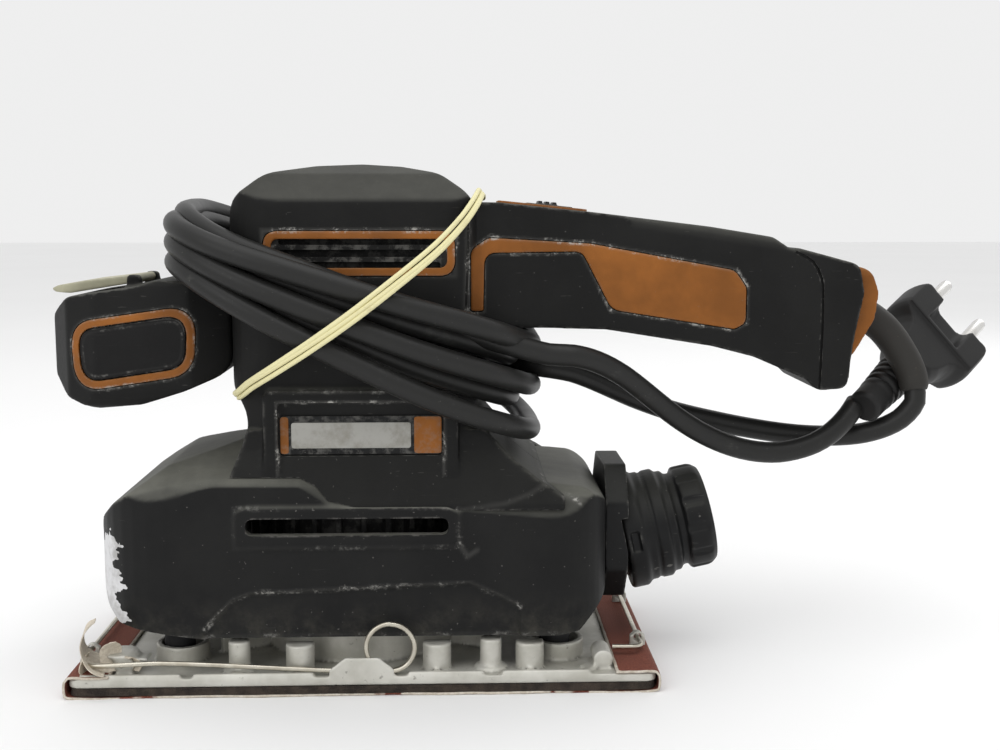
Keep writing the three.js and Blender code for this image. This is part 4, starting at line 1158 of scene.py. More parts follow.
# %% Grip
def grip_body(grow=0.0, open_end=0.0):
    """The grip, grown by an amount, and longer at its rear by `open_end`."""
    section = rounded(grown(box2d(-GRIP_HALF, GRIP_HALF, 87.4, 138), grow), 13, 6)
    return cross(
        block(rounded(grown(GRIP_SIDE, grow), 9, 5), "y", -WIDE, WIDE),
        block(rounded(grown(GRIP_PLAN, grow), 4, 4), "z", 60, 160),
        block(section, "x", -120, GRIP_REAR + open_end),
    )


EARS = (11.9, 14.3)        # the lugs that hold the lock lever, off the middle plane

ring_outer = rounded(RING_SIDE, 9.5, 8)
ring_inner = rounded(grown(RING_SIDE, -RING_BAND), 7, 8)
grip = grip_body()
for side, _ in SIDES:
    join(grip, block(rounded(box2d(-78.4, -73.6, 126.6, 132.2), 1.6, 4), "y", *span(side, *EARS)))
grip = soften(grip, 0.6, 5)
cut(grip, grip_body(-WALL, 2.7), skin_pocket(grip_body, ring_outer, 1.4, GAP))
named(grip, "front_grip_shell")


def grip_scuffs(p):
    ring = near_line(p, ring_outer + ring_outer[:1], 1.2) * 0.8
    nose = (-p[:, 0] - 101) / 8
    return np.maximum(ring, nose * 0.25)


painted(grip, grip_scuffs)
fitted(grip, "housing", "body_plastic", charcoal, "front_grip")

# %% Rings and panels of the grip
panel_outline = grown(ring_inner, -0.35)
worn_line = grown(ring_inner, -1.5)


def ring_wear(p):
    return near_line(p, ring_outer + ring_outer[:1], 0.8) * 0.7


def panel_wear(p):
    return near_line(p, worn_line + worn_line[:1], 0.45) * 0.22


for side, word in SIDES:
    ring = skin_piece(grip_body, ring_outer, ring_inner, side)
    painted(named(ring, f"grip_surround_{word}"), ring_wear)
    fitted(ring, "housing", "orange_trim", orange, f"grip_ring_{word}")
    panel = skin_piece(grip_body, panel_outline, None, side, proud=0.0, depth=1.3)
    painted(named(panel, f"grip_panel_{word}"), panel_wear)
    fitted(panel, "housing", "body_plastic", grip_panel)

# %% Lock lever
LEAF_SIDE = [
    (-102.8, 126.4), (-97.6, 126.0), (-77, 129.3), (-76, 132.0), (-79, 131.7), (-92, 130.2),
    (-101.6, 128.6), (-104.4, 127.4),
]
LEAF_PLAN = [
    (-105, -9), (-100, -TAB_HALF), (-70, -TAB_HALF), (-70, TAB_HALF), (-100, TAB_HALF), (-105, 9),
]


def tab_wear(p):
    return near_box(p, -104, -77, 120, 140, 1.6) * 0.3


leaf = block(rounded(LEAF_SIDE, 0.6, 3), "y", -TAB_HALF, TAB_HALF)
tab = cross(leaf, block(rounded(LEAF_PLAN, 4, 5), "z", 110, 150))
join(tab, crosswise(-76, 130.6, 1.5, -TAB_HALF, TAB_HALF))
tab = named(soften(tab, 0.4, 3), "lock_lever")
fitted(painted(tab, tab_wear), "grip_lock", "lever_grey", lever_plastic, "grip_lock_lever")


# %% [markdown]
# ## Skirt
# The lower housing covers the platen like a skirt. Its side carries a long air slot in a raised rim
# and, below, a sunken panel with sloping ends. Its front end has lost some of its finish: a ragged
# patch of bare pale plastic runs down the corner.

# %% Skirt
SLOT_OUTLINE = rounded(box2d(-37, 27, 51.3, 56.7), 2.6, 8)
RIM = rounded(box2d(-41, 31, 47.2, 60.2), 6.4, 8)
LOW_PANEL = [
    (-51.5, 10), (-50.5, 20.8), (-41.8, 30.2), (-36, 32.4), (33.7, 35.3), (44.9, 30.2), (49.7, 27.2),
    (50.5, 10),
]
BOTTOM_CUT = [
    (-100, 5), (100, 5), (100, 40), (80, 31), (76.6, 26.6), (69, 18.7), (62.6, 17.6), (-50.6, 17.6),
    (-72.6, 20.4), (-79, 21.6), (-84, 26), (-88.5, 36), (-100, 36),
]
skirt = skirt_body()
cut(skirt, both_sides(rounded(LOW_PANEL, 1.5, 3), 40.7, WIDE))
join(skirt, both_sides(RIM, 40, 42.8))
skirt = soften(skirt, 0.75, 4)
LEG_SPOTS = [(62, 26), (-62, 26), (-62, -26), (62, -26)]
PORT_AXIS = set_at(84, 0, 40.7, math.pi / 2 - 0.21, "Y")
cut(
    skirt,
    block(BOTTOM_CUT, "y", -WIDE, WIDE),
    skirt_body(-WALL),
    cylinder(*MOTOR_AXIS, 30, 60, 90),
    block(SLOT_OUTLINE, "y", -WIDE, WIDE),
    moved(cylinder(0, 0, 17, -16, 10), PORT_AXIS),
    seam([(-79, 61.2), (-86.5, 48), (-86.5, 30)], 0.7, 60),
)
posts = [cross(cylinder(x, y, 7, 44, 75, segments=24), skirt_body(-0.6)) for x, y in LEG_SPOTS]
join(skirt, *posts)
named(skirt, "skirt_housing")


# %% Its wear
def ragged(z, seed):
    """An uneven edge in millimetres, as a sum of waves down the corner."""
    waves = ((0.55, 1.6), (1.3, 1.0), (2.9, 0.7), (6.1, 0.45))
    return sum(size * np.sin(z * rate + seed * (k + 1)) for k, (rate, size) in enumerate(waves))


def peeled_front(p):
    x, y, z = p.T
    reach = -77.8 + ragged(z, 1.3) - 0.12 * np.abs(z - 34) + (z < 27) * 2.0
    inside = (reach - x) / 0.7
    rows = np.minimum((z - 19) / 0.8, (49.5 + ragged(y, 0.4) - 0.12 * (y + 30) - z) / 0.8)
    across = (6 + 2.2 * ragged(z, 2.7) - y) / 0.8
    return np.minimum(np.minimum(inside, rows), across)


def skirt_scuffs(p):
    x, y, z = p.T
    panel = near_line(p, LOW_PANEL[1:-1], 1.1) * 0.6 * (np.abs(y) > 39)
    rim = near_box(p, -40.6, 30.4, 47.2, 60.2, 1.0) * 0.2 * (np.abs(y) > 41)
    rim = np.maximum(rim, near_line(p, [(30.4, 48), (33, 44), (36, 46)], 1.2) * (np.abs(y) > 41) * 0.8)
    smear = near_line(p, [(59, 62.6), (66, 62.0), (69, 61.0)], 1.4) * (y < -30)
    edge = np.clip(1 - np.abs(z - 18.0) / 1.2, 0, 1) * 0.3
    return np.maximum.reduce([panel, rim, smear, edge])


def peeling_plastic():
    """The housing finish, with bare pale plastic where it has peeled."""
    f = Finish("peeling_moulding")
    patches, grain, fine, scratches, rubbed, scuffed = handled(f)
    # Upward faces, such as the skirt's decks, get pale dust and a strong painted sheen from this mask.
    dust_and_sheen = f.facing_up().between(0.1, 0.95) * (0.3 + 0.9 * f.noise(70, 5, 0.65))
    height_above = f.axis("Z") * (1 / MM)
    low_dust = height_above.between(34, 17) * f.noise(90, 5, 0.7).between(0.4, 0.75)
    nicks = f.noise(900, 1, 0.5).between(0.765, 0.79)
    bare = (f.painted("peeled") + 0.9 * (f.noise(420, 5, 0.75) - 0.5)).between(0.47, 0.53)
    tone = f.blend(patches.between(0.3, 0.75), rgb(0.0056, 0.0057, 0.0058), rgb(0.0098, 0.0099, 0.0096))
    tone = f.blend((dust_and_sheen * 0.95).clamped(), tone, rgb(0.165, 0.165, 0.143))
    tone = f.blend((low_dust * 0.35).clamped(), tone, rgb(0.085, 0.079, 0.062))
    tone = f.blend((scratches * 0.12 + nicks * 0.4 + rubbed * 0.45).clamped(), tone, rgb(0.21, 0.20, 0.185))
    tone = f.blend(scuffed, tone, CHALKY)
    pale = f.blend(f.noise(120, 5, 0.7).between(0.3, 0.6), rgb(0.40, 0.395, 0.39), rgb(0.66, 0.66, 0.67))
    tone = f.blend(bare, tone, pale)
    gloss = 0.5 + 0.16 * (patches - 0.5) + 0.12 * (fine - 0.5) + 0.14 * dust_and_sheen + 0.12 * bare
    height = grain * 0.5 + fine * 0.35 - scratches * 0.5 - nicks * 0.8 - bare * 0.8
    bump = f.bump(height, GRAIN_STRENGTH, GRAIN_DEPTH)
    return f.done(tone, gloss.clamped(), bump, Specular_IOR_Level=0.17)


painted(skirt, skirt_scuffs)
painted(skirt, peeled_front, "peeled")
fitted(skirt, "housing", "body_plastic", peeling_plastic(), "skirt")


# %% Wall of the fan chamber
# A ribbed ring round the fan, inside the skirt. It is what shows, dark, behind the air slots.
# It takes the near-black finish of the painted shade screen behind the louvres.
chamber = cylinder(*MOTOR_AXIS, 36, 44, 67, segments=96)
cut(chamber, cylinder(*MOTOR_AXIS, 34.5, 40, 70, segments=96))
for angle in range(0, 360, 12):
    join(chamber, bar(angle, 35.2, 38.6, 0.8, 45, 66, MOTOR_AXIS))
chamber = named(edged(chamber, 0.2, 1), "fan_chamber_wall")
fitted(painted(chamber, None), "housing", "body_plastic", shade_screen_finish)


# %% [markdown]
# ## Dust port
# A six-sided collar closes the skirt's rear end, and a bayonet adaptor turns in it. The adaptor is a
# turned shape with a deep V groove, a gripping rim with notches and two bayonet slots.

# %% Collar of the port
hexagon = mirrored([(13, 21.5), (22, 33), (22, 56), (13, 67.7)])
collar = soften(block(rounded(hexagon, 3, 4), "x", 79.3, 87), 0.5, 4)
for radius, low, high in ((16, -16, 20), (24, 2.6, 30)):      # the bore and the adaptor's seat
    cut(collar, moved(upright(radius, low, high, 64), PORT_AXIS))
dust_collar = painted(named(collar, "port_collar"), None)
fitted(dust_collar, "housing", "body_plastic", black_moulding, "dust_collar")

# %% Adaptor
ADAPTOR_PROFILE = [
    (13, -3), (15.5, -3), (15.5, 3), (19.8, 3), (20.5, 3.7), (20.5, 8.8), (19.9, 9.6), (19, 10.4), (19, 12.6),
    (18.4, 13.1), (18.4, 14.0), (19, 14.5), (19, 17.8), (17.6, 19), (17.6, 21), (16.2, 22), (16.0, 24),
    (17.4, 24.6), (18, 25.3), (18, 30.6), (17.6, 32), (16.2, 33.8), (13.4, 34), (13, 33.6),
]
NOTCHES = 12
BAYONET_STARTS = (0.5, 2.6, 4.7)

adapter = turned(ADAPTOR_PROFILE, 96, closed=True)
notches = []
for i in range(NOTCHES):
    spot = Matrix.Rotation(2 * math.pi * i / NOTCHES, 4, "Z") @ Matrix.Translation((18.9, 0, 28.6))
    notches.append(moved(block(rounded(box2d(-1.5, 1.5, -1.7, 1.7), 0.8, 3), "z", -4, 7), spot))
for start in BAYONET_STARTS:
    spot = Matrix.Rotation(start, 4, "Z") @ Matrix.Translation((20.2, 0, 6.2))
    notches.append(moved(block(box2d(-1.0, 3, -3.6, 3.6), "z", -1.5, 1.5), spot))
cut(adapter, *notches)
adapter = soften(adapter, 0.45, 3)
adapter = moved(named(adapter, "port_adaptor"), PORT_AXIS)
fitted(painted(adapter, None), "adapter", "body_plastic", black_moulding, "dust_adapter")

# %% [markdown]
# ## Platen
# The platen is one aluminium die casting: a thin flange, a hub for the bearing inside a wall ring,
# ribs and webs, round posts, half-round bosses and a hooked plate on each side. Everything is joined
# as blocks and cylinders and softened as one, because a casting has no sharp inside corners.

# %% Casting
ORBIT = 1                  # how far the platen's centre stands off the motor's axis
HUB = (MOTOR_AXIS[0] + ORBIT, 0)
FLOOR = 5                  # the flange's top face lies a little above this, so that all is one solid
POST_ROW = 38.6            # the row of posts, off the middle plane
LUG_SIDE = [(87.9, 5), (93.1, 5), (93.1, 10.5), (90.5, 12.3), (87.9, 10.5)]
HOOK = [(-11, 5), (9.5, 5), (9.5, 8.5), (4.5, 12.5), (-6, 12.5), (-11, 8.5)]
CORNER_STUD = (78.5, 36.5)


def hub_and_ribs():
    wall = cylinder(*HUB, 34, FLOOR, 17, 72)
    cut(wall, cylinder(*HUB, 31.5, 3, 20, 72))
    made = [cylinder(*HUB, 18.5, FLOOR, 24, 64), wall]
    made += [bar(angle, 32, 51, 1.3, FLOOR, 13.2, HUB) for angle in (25, 155, 205, 335)]
    made += [bar(angle, -33, 33, 1.3, FLOOR, 12.2, HUB) for angle in (0, 60, 120)]
    for x, y in LEG_SPOTS:
        cup = cylinder(x + ORBIT, y, 8.6, FLOOR, 12.2, 40)
        made.append(cut(cup, cylinder(x + ORBIT, y, 6.7, 6.3, 20, 40)))
    return made


def posts_and_bosses(side):
    """The row of posts, bosses and rims along one side, the hook plate and the corner stud."""
    made = []
    row = side * POST_ROW
    for x in (-40.4, 40.4):
        made += [cylinder(x, row, 3.5, FLOOR, 16.2), cylinder(x, row, 5.0, FLOOR, 7.4)]
    for x in (-21, 23, 53):
        boss = cylinder(x, row, 4.6, FLOOR, 15.2, 40)
        made.append(cut(boss, block(box2d(x - 9, x + 9, *span(side, 10, 36.6)), "z", 0, 40)))
    made += [crosswise(x, 9.2, 3.2, *span(side, 31, 42)) for x in (-76.6, 76.6)]
    for x0, x1 in ((-90, -58), (-54, -16), (14, 38), (44, 72)):
        made.append(block(box2d(x0, x1, *span(side, 44.2, 45.9)), "z", FLOOR, 7.5))
    made.append(block(HOOK, "y", *span(side, 45.5, 46.5)))
    x, y = [side * place_at for place_at in CORNER_STUD]
    made += [cylinder(x, y, 4.4, FLOOR, 12.6, 40), cylinder(x, y, 5.6, 11.2, 12.4, 40)]
    made.append(block(box2d(*span(side, 69.5, 81.5), *span(side, 33, 40)), "z", 9.8, 10.8))
    lozenge = [(68.5, 0), (72, 3.2), (75.5, 0), (72, -3.2)]
    made.append(shifted(block(lozenge, "z", 6, 7.6), 0, side * 41.5, 0))
    return made


def rod_lug(y, turn):
    """A lug with a hole for a clamp lever's rod."""
    lug = block(rounded(LUG_SIDE, 0.8, 3), "y", y - 1.25, y + 1.25)
    cut(lug, crosswise(90.5, 10, 1.3, y - 5, y + 5))
    return moved(lug, Matrix.Rotation(turn, 4, "Z"))


# %% The platen as one casting
platen = block(rounded(box2d(-93.5, 93.5, -46.5, 46.5), 4, 6), "z", 3.4, 6.2)
join(platen, *hub_and_ribs(), *posts_and_bosses(-1), *posts_and_bosses(1))
join(platen, *[rod_lug(y, turn) for turn in (0, math.pi) for y in (-21, 27)])
platen = soften(platen, 0.55, 3)
cut(platen, cylinder(*HUB, 14.3, 13.7, 40, 64))
thin = platen.modifiers.new("thin", "DECIMATE")
thin.ratio = 0.42
settle(platen)
named(platen, "platen_die_casting", 50)
fitted(platen, "platen", "cast_metal", casting, "platen_casting")


# %% [markdown]
# ## Foam and sanding sheet
# Under the casting is a thin foam pad. The sheet is cut to 93 by 230 mm; its ends fold up over the
# ends of the platen, where the clamp rods hold them. The abrasive side faces out, so it shows on the
# flaps. The near edge is worn: its cream paper curls and waves, and the front corner is torn.

# %% Foam pad
def waves(along, seed, size):
    """A smooth uneven line, the same at every run."""
    rates = np.array([0.09, 0.23, 0.51, 1.13, 2.3])
    phases = np.random.default_rng(seed).uniform(0, 6.3, len(rates))
    return size * sum(np.sin(along * r + q) / (1 + i) for i, (r, q) in enumerate(zip(rates, phases)))


PAD_HALVES = (93.2, 46.1)
PAD_LEVELS = (0.85, 1.3, 2.0, 2.7, 3.35)
EDGE_STEP = 1.6
UNEVEN = 0.16


def pad_edge(seed):
    """The pad's outline, slightly uneven."""
    half_x, half_y = PAD_HALVES
    outline = rounded(box2d(-half_x, half_x, -half_y, half_y), 4, 6)
    ring = smooth_line(outline + outline[:1], EDGE_STEP)[:-1]
    length = np.arange(len(ring)) * EDGE_STEP
    away = ring / np.linalg.norm(ring, axis=1)[:, None]
    return ring + away * waves(length, seed, UNEVEN)[:, None]


rings = [[(x, y, z) for x, y in pad_edge(11 + i)] for i, z in enumerate(PAD_LEVELS)]
pad = named(through("backing_pad", rings, smooth=True), "backing_pad")
fitted(pad, "platen", "foam", foam, "foam_pad")

# %% Sanding sheet
SHEET_THICK = 0.7
SHEET_HALF = 46.45
FRAY = 0.28                # how far its long edges wander


def sheet_route():
    """The sheet in the side view, from one flap's end to the other's."""
    right = [(94.25, 0.9), (94.25, 5.6), (93.2, 6.85), (88, 6.9), (80.3, 7.0)]
    bottom = [(-93.4, 0.38), (-60, 0.36), (0, 0.36), (60, 0.36), (93.4, 0.38)]
    left = [(-x, z) for x, z in reversed(right)]
    return smooth_route([(x, 0, z) for x, z in left + bottom + right], 1.5)


def sanding_mesh():
    route = sheet_route()
    ahead = headings(route)
    up = np.stack([-ahead[:, 2], np.zeros(len(ahead)), ahead[:, 0]], axis=1)
    length = np.concatenate([[0], np.cumsum(np.linalg.norm(np.diff(route, axis=0), axis=1))])
    outermost = np.linspace(0.9, 1, 6)       # finer near the two long edges
    across = np.concatenate([-outermost[::-1], np.linspace(-0.85, 0.85, 28), outermost])
    bm = bmesh.new()
    grids = []
    for level in (-SHEET_THICK / 2, SHEET_THICK / 2):
        grid = []
        for i, point in enumerate(route):
            row = []
            for share in across:
                edge = SHEET_HALF + waves(length[i] + (share > 0) * 400, 3, FRAY)
                lift = 0.32 * max(abs(share) - 0.9, 0) / 0.1 * (0.6 + 0.4 * math.sin(length[i] * 0.31))
                spot = point + up[i] * (level + lift * 0.5) + np.array([0, share * edge, 0])
                row.append(bm.verts.new(spot))
            grid.append(row)
        grids.append(grid)
    low, high = grids
    rows, columns = len(low), len(across)
    for i in range(rows - 1):
        for j in range(columns - 1):
            bm.faces.new((low[i][j], low[i][j + 1], low[i + 1][j + 1], low[i + 1][j]))
            bm.faces.new((high[i][j], high[i + 1][j], high[i + 1][j + 1], high[i][j + 1]))
    border = [(i, 0) for i in range(rows)] + [(rows - 1, j) for j in range(1, columns)]
    border += [(i, columns - 1) for i in range(rows - 2, -1, -1)]
    border += [(0, j) for j in range(columns - 2, 0, -1)]
    for (a, b), (c, d) in zip(border, border[1:] + border[:1]):
        bm.faces.new((low[a][b], low[c][d], high[c][d], high[a][b]))
    return from_bmesh("abrasive_sheet", bm)


sheet = sanding_mesh()
print("sheet is", round(route_length(sheet_route())), "mm long before it was folded")


def two_sided_sheet():
    """Grit outside and cream paper on the cut edges, which are painted."""
    f = Finish("sanding_sheet")
    grains = f.noise(2600, 2, 0.6)
    cloud = f.noise(45, 4, 0.6)
    tone = f.blend(grains.between(0.35, 0.65), rgb(0.10, 0.024, 0.014), rgb(0.235, 0.066, 0.038))
    tone = f.blend(grains.between(0.68, 0.74), tone, rgb(0.45, 0.22, 0.14))
    tone = f.blend(cloud.between(0.45, 0.8) * 0.45, tone, rgb(0.10, 0.04, 0.028))
    fibres = f.blend(f.noise(500, 5, 0.7).between(0.3, 0.7), rgb(0.46, 0.40, 0.32), rgb(0.68, 0.63, 0.55))
    worn = (f.painted("paper") + 0.5 * (f.noise(160, 5, 0.7) - 0.5)).between(0.4, 0.6)
    tone = f.blend(worn, tone, fibres)
    return f.done(tone, 0.9, f.bump(grains, 0.7, 0.25))


def paper_edge(p):
    x, y, z = p.T
    side = (np.abs(y) - 45.9) / 0.5
    return np.maximum(side, (np.abs(x) < 80.9) * (z > 6.3) * 1.0)


painted(sheet, paper_edge, "paper")
fitted(sheet, "platen", "abrasive", two_sided_sheet(), "sanding_sheet")


# %% Torn corner
def curl(name, corner, heading, length, width, turn, lift, seed):
    """A torn strip of paper that curls up from the sheet's front corner."""
    bm = bmesh.new()
    rows = []
    steps, columns = 22, 8
    direction = np.array([math.cos(heading), math.sin(heading), 0])
    sideways = np.array([-direction[1], direction[0], 0])
    spot = np.array(corner, float)
    angle = lift
    for i in range(steps + 1):
        t = i / steps
        ragged_width = width * (1 - 0.75 * t ** 2) * (1 + 0.16 * math.sin(9 * t + seed))
        row = []
        for j in range(columns + 1):
            s = (j / columns - 0.5) * ragged_width
            sag = 0.10 * s * s / max(width, 1) * (0.5 + t)
            jitter = 0.14 * math.sin(17 * t + 3 * j + seed)
            row.append(bm.verts.new(spot + sideways * s + np.array([0, 0, sag + jitter])))
        rows.append(row)
        spot = spot + (direction * math.cos(angle) + np.array([0, 0, 1]) * math.sin(angle)) * length / steps
        angle += turn / steps
    for low, high in zip(rows, rows[1:]):
        for j in range(columns):
            bm.faces.new((low[j], low[j + 1], high[j + 1], high[j]))
    strip = from_bmesh(name, bm)
    thick = strip.modifiers.new("thick", "SOLIDIFY")
    thick.thickness = 0.28 * MM
    thick.offset = 0
    settle(strip)
    return named(strip, name, 60)


scraps = [
    curl("torn_paper_1", (-83, -38.5, 7.6), math.radians(190), 21, 17, 2.5, 0.2, 0.4),
    curl("torn_paper_2", (-80, -42.0, 7.4), math.radians(120), 12, 8.5, 2.0, 0.75, 1.9),
    curl("torn_paper_3", (-86.5, -40.5, 4.6), math.radians(170), 9.5, 10, 1.6, 0.6, 3.1),
    curl("torn_paper_4", (-74, -41.0, 7.4), math.radians(60), 7, 6, 2.4, 0.9, 5.2),
]
for scrap in scraps:
    fitted(scrap, "platen", "abrasive", paper)


# %% [markdown]
# ## Clamp levers and rubber legs
# Each lever is one piece of 1.6 mm wire: a rod across the sheet's end, an arm along the platen's
# side and a finger ring of one and a half turns. The front lever is the rear one turned half round.

# %% Levers
LEVER = [
    (80.8, -31.5, 10), (88, -31.5, 10), (90.5, -29.4, 10), (90.5, -25, 10), (90.5, -17, 10),
    (90.5, 24, 10), (90.5, 38, 10), (88.9, 42, 10), (85, 44.4, 10.2), (66, 44.4, 10.8),
    (40, 44.4, 9.6), (14, 44.4, 8), (0, 44.4, 7.6), (-8.3, 44.4, 7.6),
]
WIRE_R = 0.8
RING_CENTRE = (-8.3, 44.4, 15.3)
RING_R = 7.7
RING_STEPS = 36            # in one turn
RING_TURNS = 1.5


def lever_mesh(name, turn):
    x, y, z = RING_CENTRE
    loop = []
    for step in range(1, int(RING_TURNS * RING_STEPS) + 1):
        turns = step / RING_STEPS
        angle = -math.pi / 2 - 2 * math.pi * turns
        beside = 0.9 * min(turns, 1) - 0.2         # the second turn lies beside the first
        loop.append((x + RING_R * math.cos(angle), y + beside, z + RING_R * math.sin(angle)))
    piece = tube(name, smooth_route(LEVER + loop, 0.9), WIRE_R, segments=14)
    return moved(piece, Matrix.Rotation(turn, 4, "Z"))


for word, turn in (("rear", 0), ("front", math.pi)):
    lever = named(lever_mesh(f"{word}_wire_lever", turn), f"{word}_wire_lever", 60)
    fitted(lever, f"{word}_lever", "steel", wire, f"{word}_clamp_lever")

# %% Legs
LEG_PROFILE = [
    (0, 7), (5, 7), (5, 13.5), (3.9, 17.5), (3.7, 28), (3.9, 38), (5, 42), (5, 43.7), (0, 43.7),
]
for i, (x, y) in enumerate(LEG_SPOTS):
    leg = turned(LEG_PROFILE, 40)
    leg = named(shifted(leg, x, y, 0), f"flex_leg_{i + 1}")
    body = frame["nodes"][f"rubber_leg_{i + 1}"]["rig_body"]
    fitted(leg, body, "black_rubber", leg_rubber, f"rubber_leg_{i + 1}")

# %% [markdown]
# ## Boot, plug and band
# The boot is a soft tapered sleeve that keeps the lead from kinking. The plug is a moulded two-pin
# plug: a ribbed neck that swells to a round head with a flat face. The elastic band goes round the
# turns in three strands that lie side by side, and has slipped into a diagonal.

# %% Boot
BOOT = [
    (160, 0, 122.58), (166, 0, 119.81), (171, 0, 117.5), (177.5, -1, 112.6), (183, -3, 105),
    (186.4, -5.8, 97.4), (187.2, -7.6, 91.6),
]
boot_route = smooth_route(BOOT, 0.7)
share = np.linspace(0, 1, len(boot_route))
boot_radii = 5.3 + 0.25 * np.sin(math.pi * share) - 0.45 * share ** 3
boot_radii[-3:] = (4.7, 4.5, 4.1)        # its rounded mouth
boot = named(tube("curved_boot", boot_route, boot_radii, segments=28), "curved_boot", 60)
fitted(boot, "housing", "black_rubber", boot_rubber, "strain_relief")

# %% Plug
PLUG_AT = Vector((210.5, 30, 110.5))
axis = Vector((0.667, 0.63, 0.396)).normalized()
across = Vector((0.628, -0.189, -0.756))
across = (across - axis * across.dot(axis)).normalized()
third = axis.cross(across)
plug_frame = Matrix((across, third, axis)).transposed().to_4x4()
plug_frame.translation = PLUG_AT


def plug_profile():
    """Radius and height, from the neck to the face at 0. Five rings run round the neck."""
    body = [(0, -62), (5.0, -62), (5.8, -61.2), (5.9, -54.5)]
    for k in range(5):
        s = -52.0 + 3.6 * k
        radius = 6.2 + 0.25 * k
        body += [(radius, s - 1.2), (radius, s + 0.9), (radius - 0.8, s + 1.2), (radius - 0.8, s + 1.8)]
    body += [(7.4, -34.0), (9.6, -31), (11.0, -27.5), (12.3, -21), (14, -18.6), (17.2, -16.6), (18.2, -15.4),
             (18.6, -13.5), (18.6, -3), (18.2, -1.2), (17.2, -0.2), (15.6, 0.0), (15.2, -0.5), (0, -0.5)]
    return body


plug = turned(plug_profile(), 72)
cutters = []
for side, _ in SIDES:
    cutters.append(block(rounded(box2d(-30, 30, *span(side, 8.6, 30)), 0.5, 2), "z", -24, 6))
    cutters.append(block(box2d(-30, 30, *span(side, 7.6, 23.6)), "z", -43, -15))
    notch = rounded([(-6.4, side * 3.4), (6.4, side * 3.4), (9.5, side * 16), (-9.5, side * 16)], 3, 5)
    cutters.append(block(notch, "z", -13.5, 6))
cut(plug, *cutters)
plug = soften(plug, 0.5, 3)
plug = moved(named(plug, "moulded_plug"), plug_frame)
fitted(plug, "housing", "black_rubber", plug_rubber, "plug_body")

# %% Pins
PIN_PROFILE = [(0, -0.6), (2.4, -0.6), (2.4, 16.2), (2.2, 17.6), (1.6, 18.6), (0.8, 19), (0, 19)]
PIN_PITCH = 19

for i, (side, _) in enumerate(SIDES):
    pin = moved(shifted(turned(PIN_PROFILE, 28), side * PIN_PITCH / 2, 0, 0), plug_frame)
    fitted(named(pin, f"contact_pin_{i + 1}"), "housing", "steel", nickel, f"plug_pin_{i + 1}")

# %% The cord takes its body and finish and stands for the frame's cord nodes
fitted(mains_cord, "housing", "cord_sheath", sheath, "cord_to_coil", "cord_coil", "cord_to_plug")

# %% Elastic band
NEAR_SIDE = [
    (38.5, -10, 158.0), (38, -22, 158.4), (36.9, -32, 156.2), (33.2, -40.5, 150.6), (24.9, -48.5, 141.7),
    (12.9, -54, 132.1), (-2.0, -55.4, 121.1), (-16.6, -55, 111.4), (-27.6, -50.5, 104.4),
    (-34.6, -43.6, 99.8), (-38.4, -36.8, 96.6), (-41.4, -27, 94.2), (-42.0, -8, 93.6),
]
STRANDS = ((-1.35, 0.0), (0.0, 1.7), (1.25, 3.9))        # how far each lies off the middle, and its phase
STRAND_R = 0.78
AT_LEAST = 60              # the loop closes somewhere after this many points

# The smooth route runs past its own start, and is then trimmed to one loop.
loop = NEAR_SIDE + [(x, -y, z) for x, y, z in reversed(NEAR_SIDE)]
past = smooth_route(loop[-3:] + loop + loop[:3], 1.5)
start = int(np.argmin(np.linalg.norm(past - np.array(loop[0]), axis=1)))
gaps = np.linalg.norm(past[start + AT_LEAST:] - past[start], axis=1)
once_round = past[start:start + AT_LEAST + int(np.argmin(gaps))]
around = circle(len(once_round))
band_mesh = bmesh.new()
for off, phase in STRANDS:
    drift = off * (0.75 + 0.45 * np.sin(2 * around + phase))
    strand = once_round + np.stack([0.75 * drift, np.zeros_like(drift), -0.9 * drift], axis=1)
    add_tube(band_mesh, strand, STRAND_R, 10, closed=True)
band = named(from_bmesh("rubber_band", band_mesh), "rubber_band", 60)
fitted(band, "housing", "elastic", band_rubber, "elastic_band")


# %% [markdown]
# ## Inside parts
# The motor, the bearings and the fan keep their frame meshes, because hardly anything of them shows
# through the vents. They take real finishes all the same.

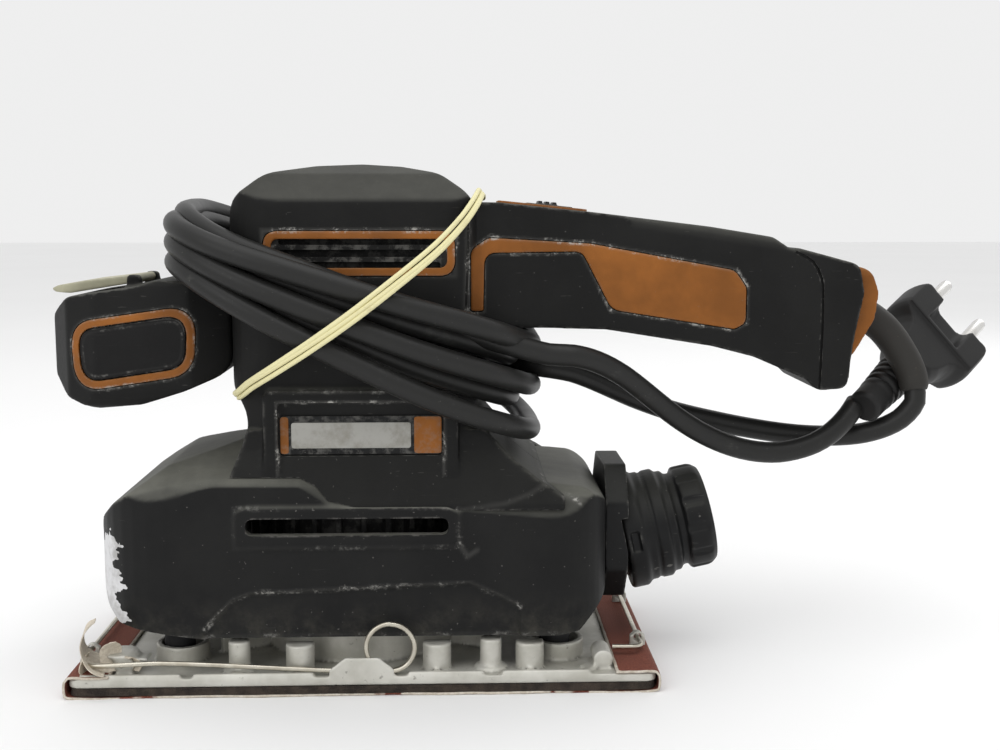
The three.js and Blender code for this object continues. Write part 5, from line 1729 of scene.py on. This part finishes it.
# %% Finishes of the inside parts
INSIDE = {
    steel: ("stator_core", "top_bearing", "lower_bearing", "rotor_shaft", "armature", "counterweight",
            "platen_bearing", "brush_spring_front", "brush_spring_rear", "shell_screw_1", "shell_screw_2",
            "shell_screw_3", "shell_screw_4"),
    copper: ("field_winding_lower", "field_winding_upper", "commutator"),
    carbon: ("carbon_brush_front", "carbon_brush_rear", "switch_block"),
    brass: ("brush_holder_front", "brush_holder_rear"),
    black_moulding: ("fan", "cord_clamp"),
}
for finish, names in INSIDE.items():
    for name in names:
        node = frame["nodes"][name]
        if not node.material_slots:
            node.data.materials.append(finish)
        for slot in node.material_slots:
            slot.material = finish
print("inside parts:", sum(len(names) for names in INSIDE.values()))


# %% [markdown]
# ## Floor and light
# A plain pale floor and large soft lights, as in a product picture: a wide one overhead, a softer one
# from the front left, and a pale world that fills the shadows.

# %% Floor
FLOOR_HALF = 6000
FLOOR_GAP = 0.05

floor_finish = Finish("studio_floor")
shade = floor_finish.noise(3, 2)
tone = floor_finish.blend(shade, rgb(0.88, 0.88, 0.88), rgb(0.92, 0.92, 0.92))
floor_mesh = bmesh.new()
bmesh.ops.create_grid(floor_mesh, x_segments=8, y_segments=8, size=FLOOR_HALF)
bmesh.ops.translate(floor_mesh, vec=(0, 0, -FLOOR_GAP), verts=floor_mesh.verts)
floor = from_bmesh("studio_floor", floor_mesh)
floor.data.materials.append(floor_finish.done(tone, 0.75))
floor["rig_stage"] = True

# %% Lights
world = bpy.data.worlds.new("pale_studio")
world.use_nodes = True
world.node_tree.nodes["Background"].inputs["Color"].default_value = (1, 1, 1, 1)
world.node_tree.nodes["Background"].inputs["Strength"].default_value = 0.86
bpy.context.scene.world = world


def area_light(name, place_at, aim, size, watts):
    data = bpy.data.lights.new(name, "AREA")
    data.shape = "DISK"
    data.size = size
    data.energy = watts
    lamp = place(name, data)
    lamp.location = place_at
    lamp.rotation_euler = (Vector(aim) - Vector(place_at)).to_track_quat("-Z", "Y").to_euler()


area_light("overhead", (0.0, -0.25, 1.2), (0.03, 0, 0.1), 1.2, 5)
area_light("front_left", (-0.8, -1.0, 0.7), (0.03, 0, 0.08), 0.9, 3)
area_light("rear_right", (0.9, 0.7, 0.8), (0.03, 0, 0.1), 0.8, 2.5)
bpy.context.scene.view_settings.view_transform = "Standard"

# %% [markdown]
# ## Size and finish
# The last line prints the size of the finished model's box, in millimetres.

# %% Size
bpy.context.view_layer.update()
low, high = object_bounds()
print("size in mm:", [round((b - a) / MM, 1) for a, b in zip(low, high)])
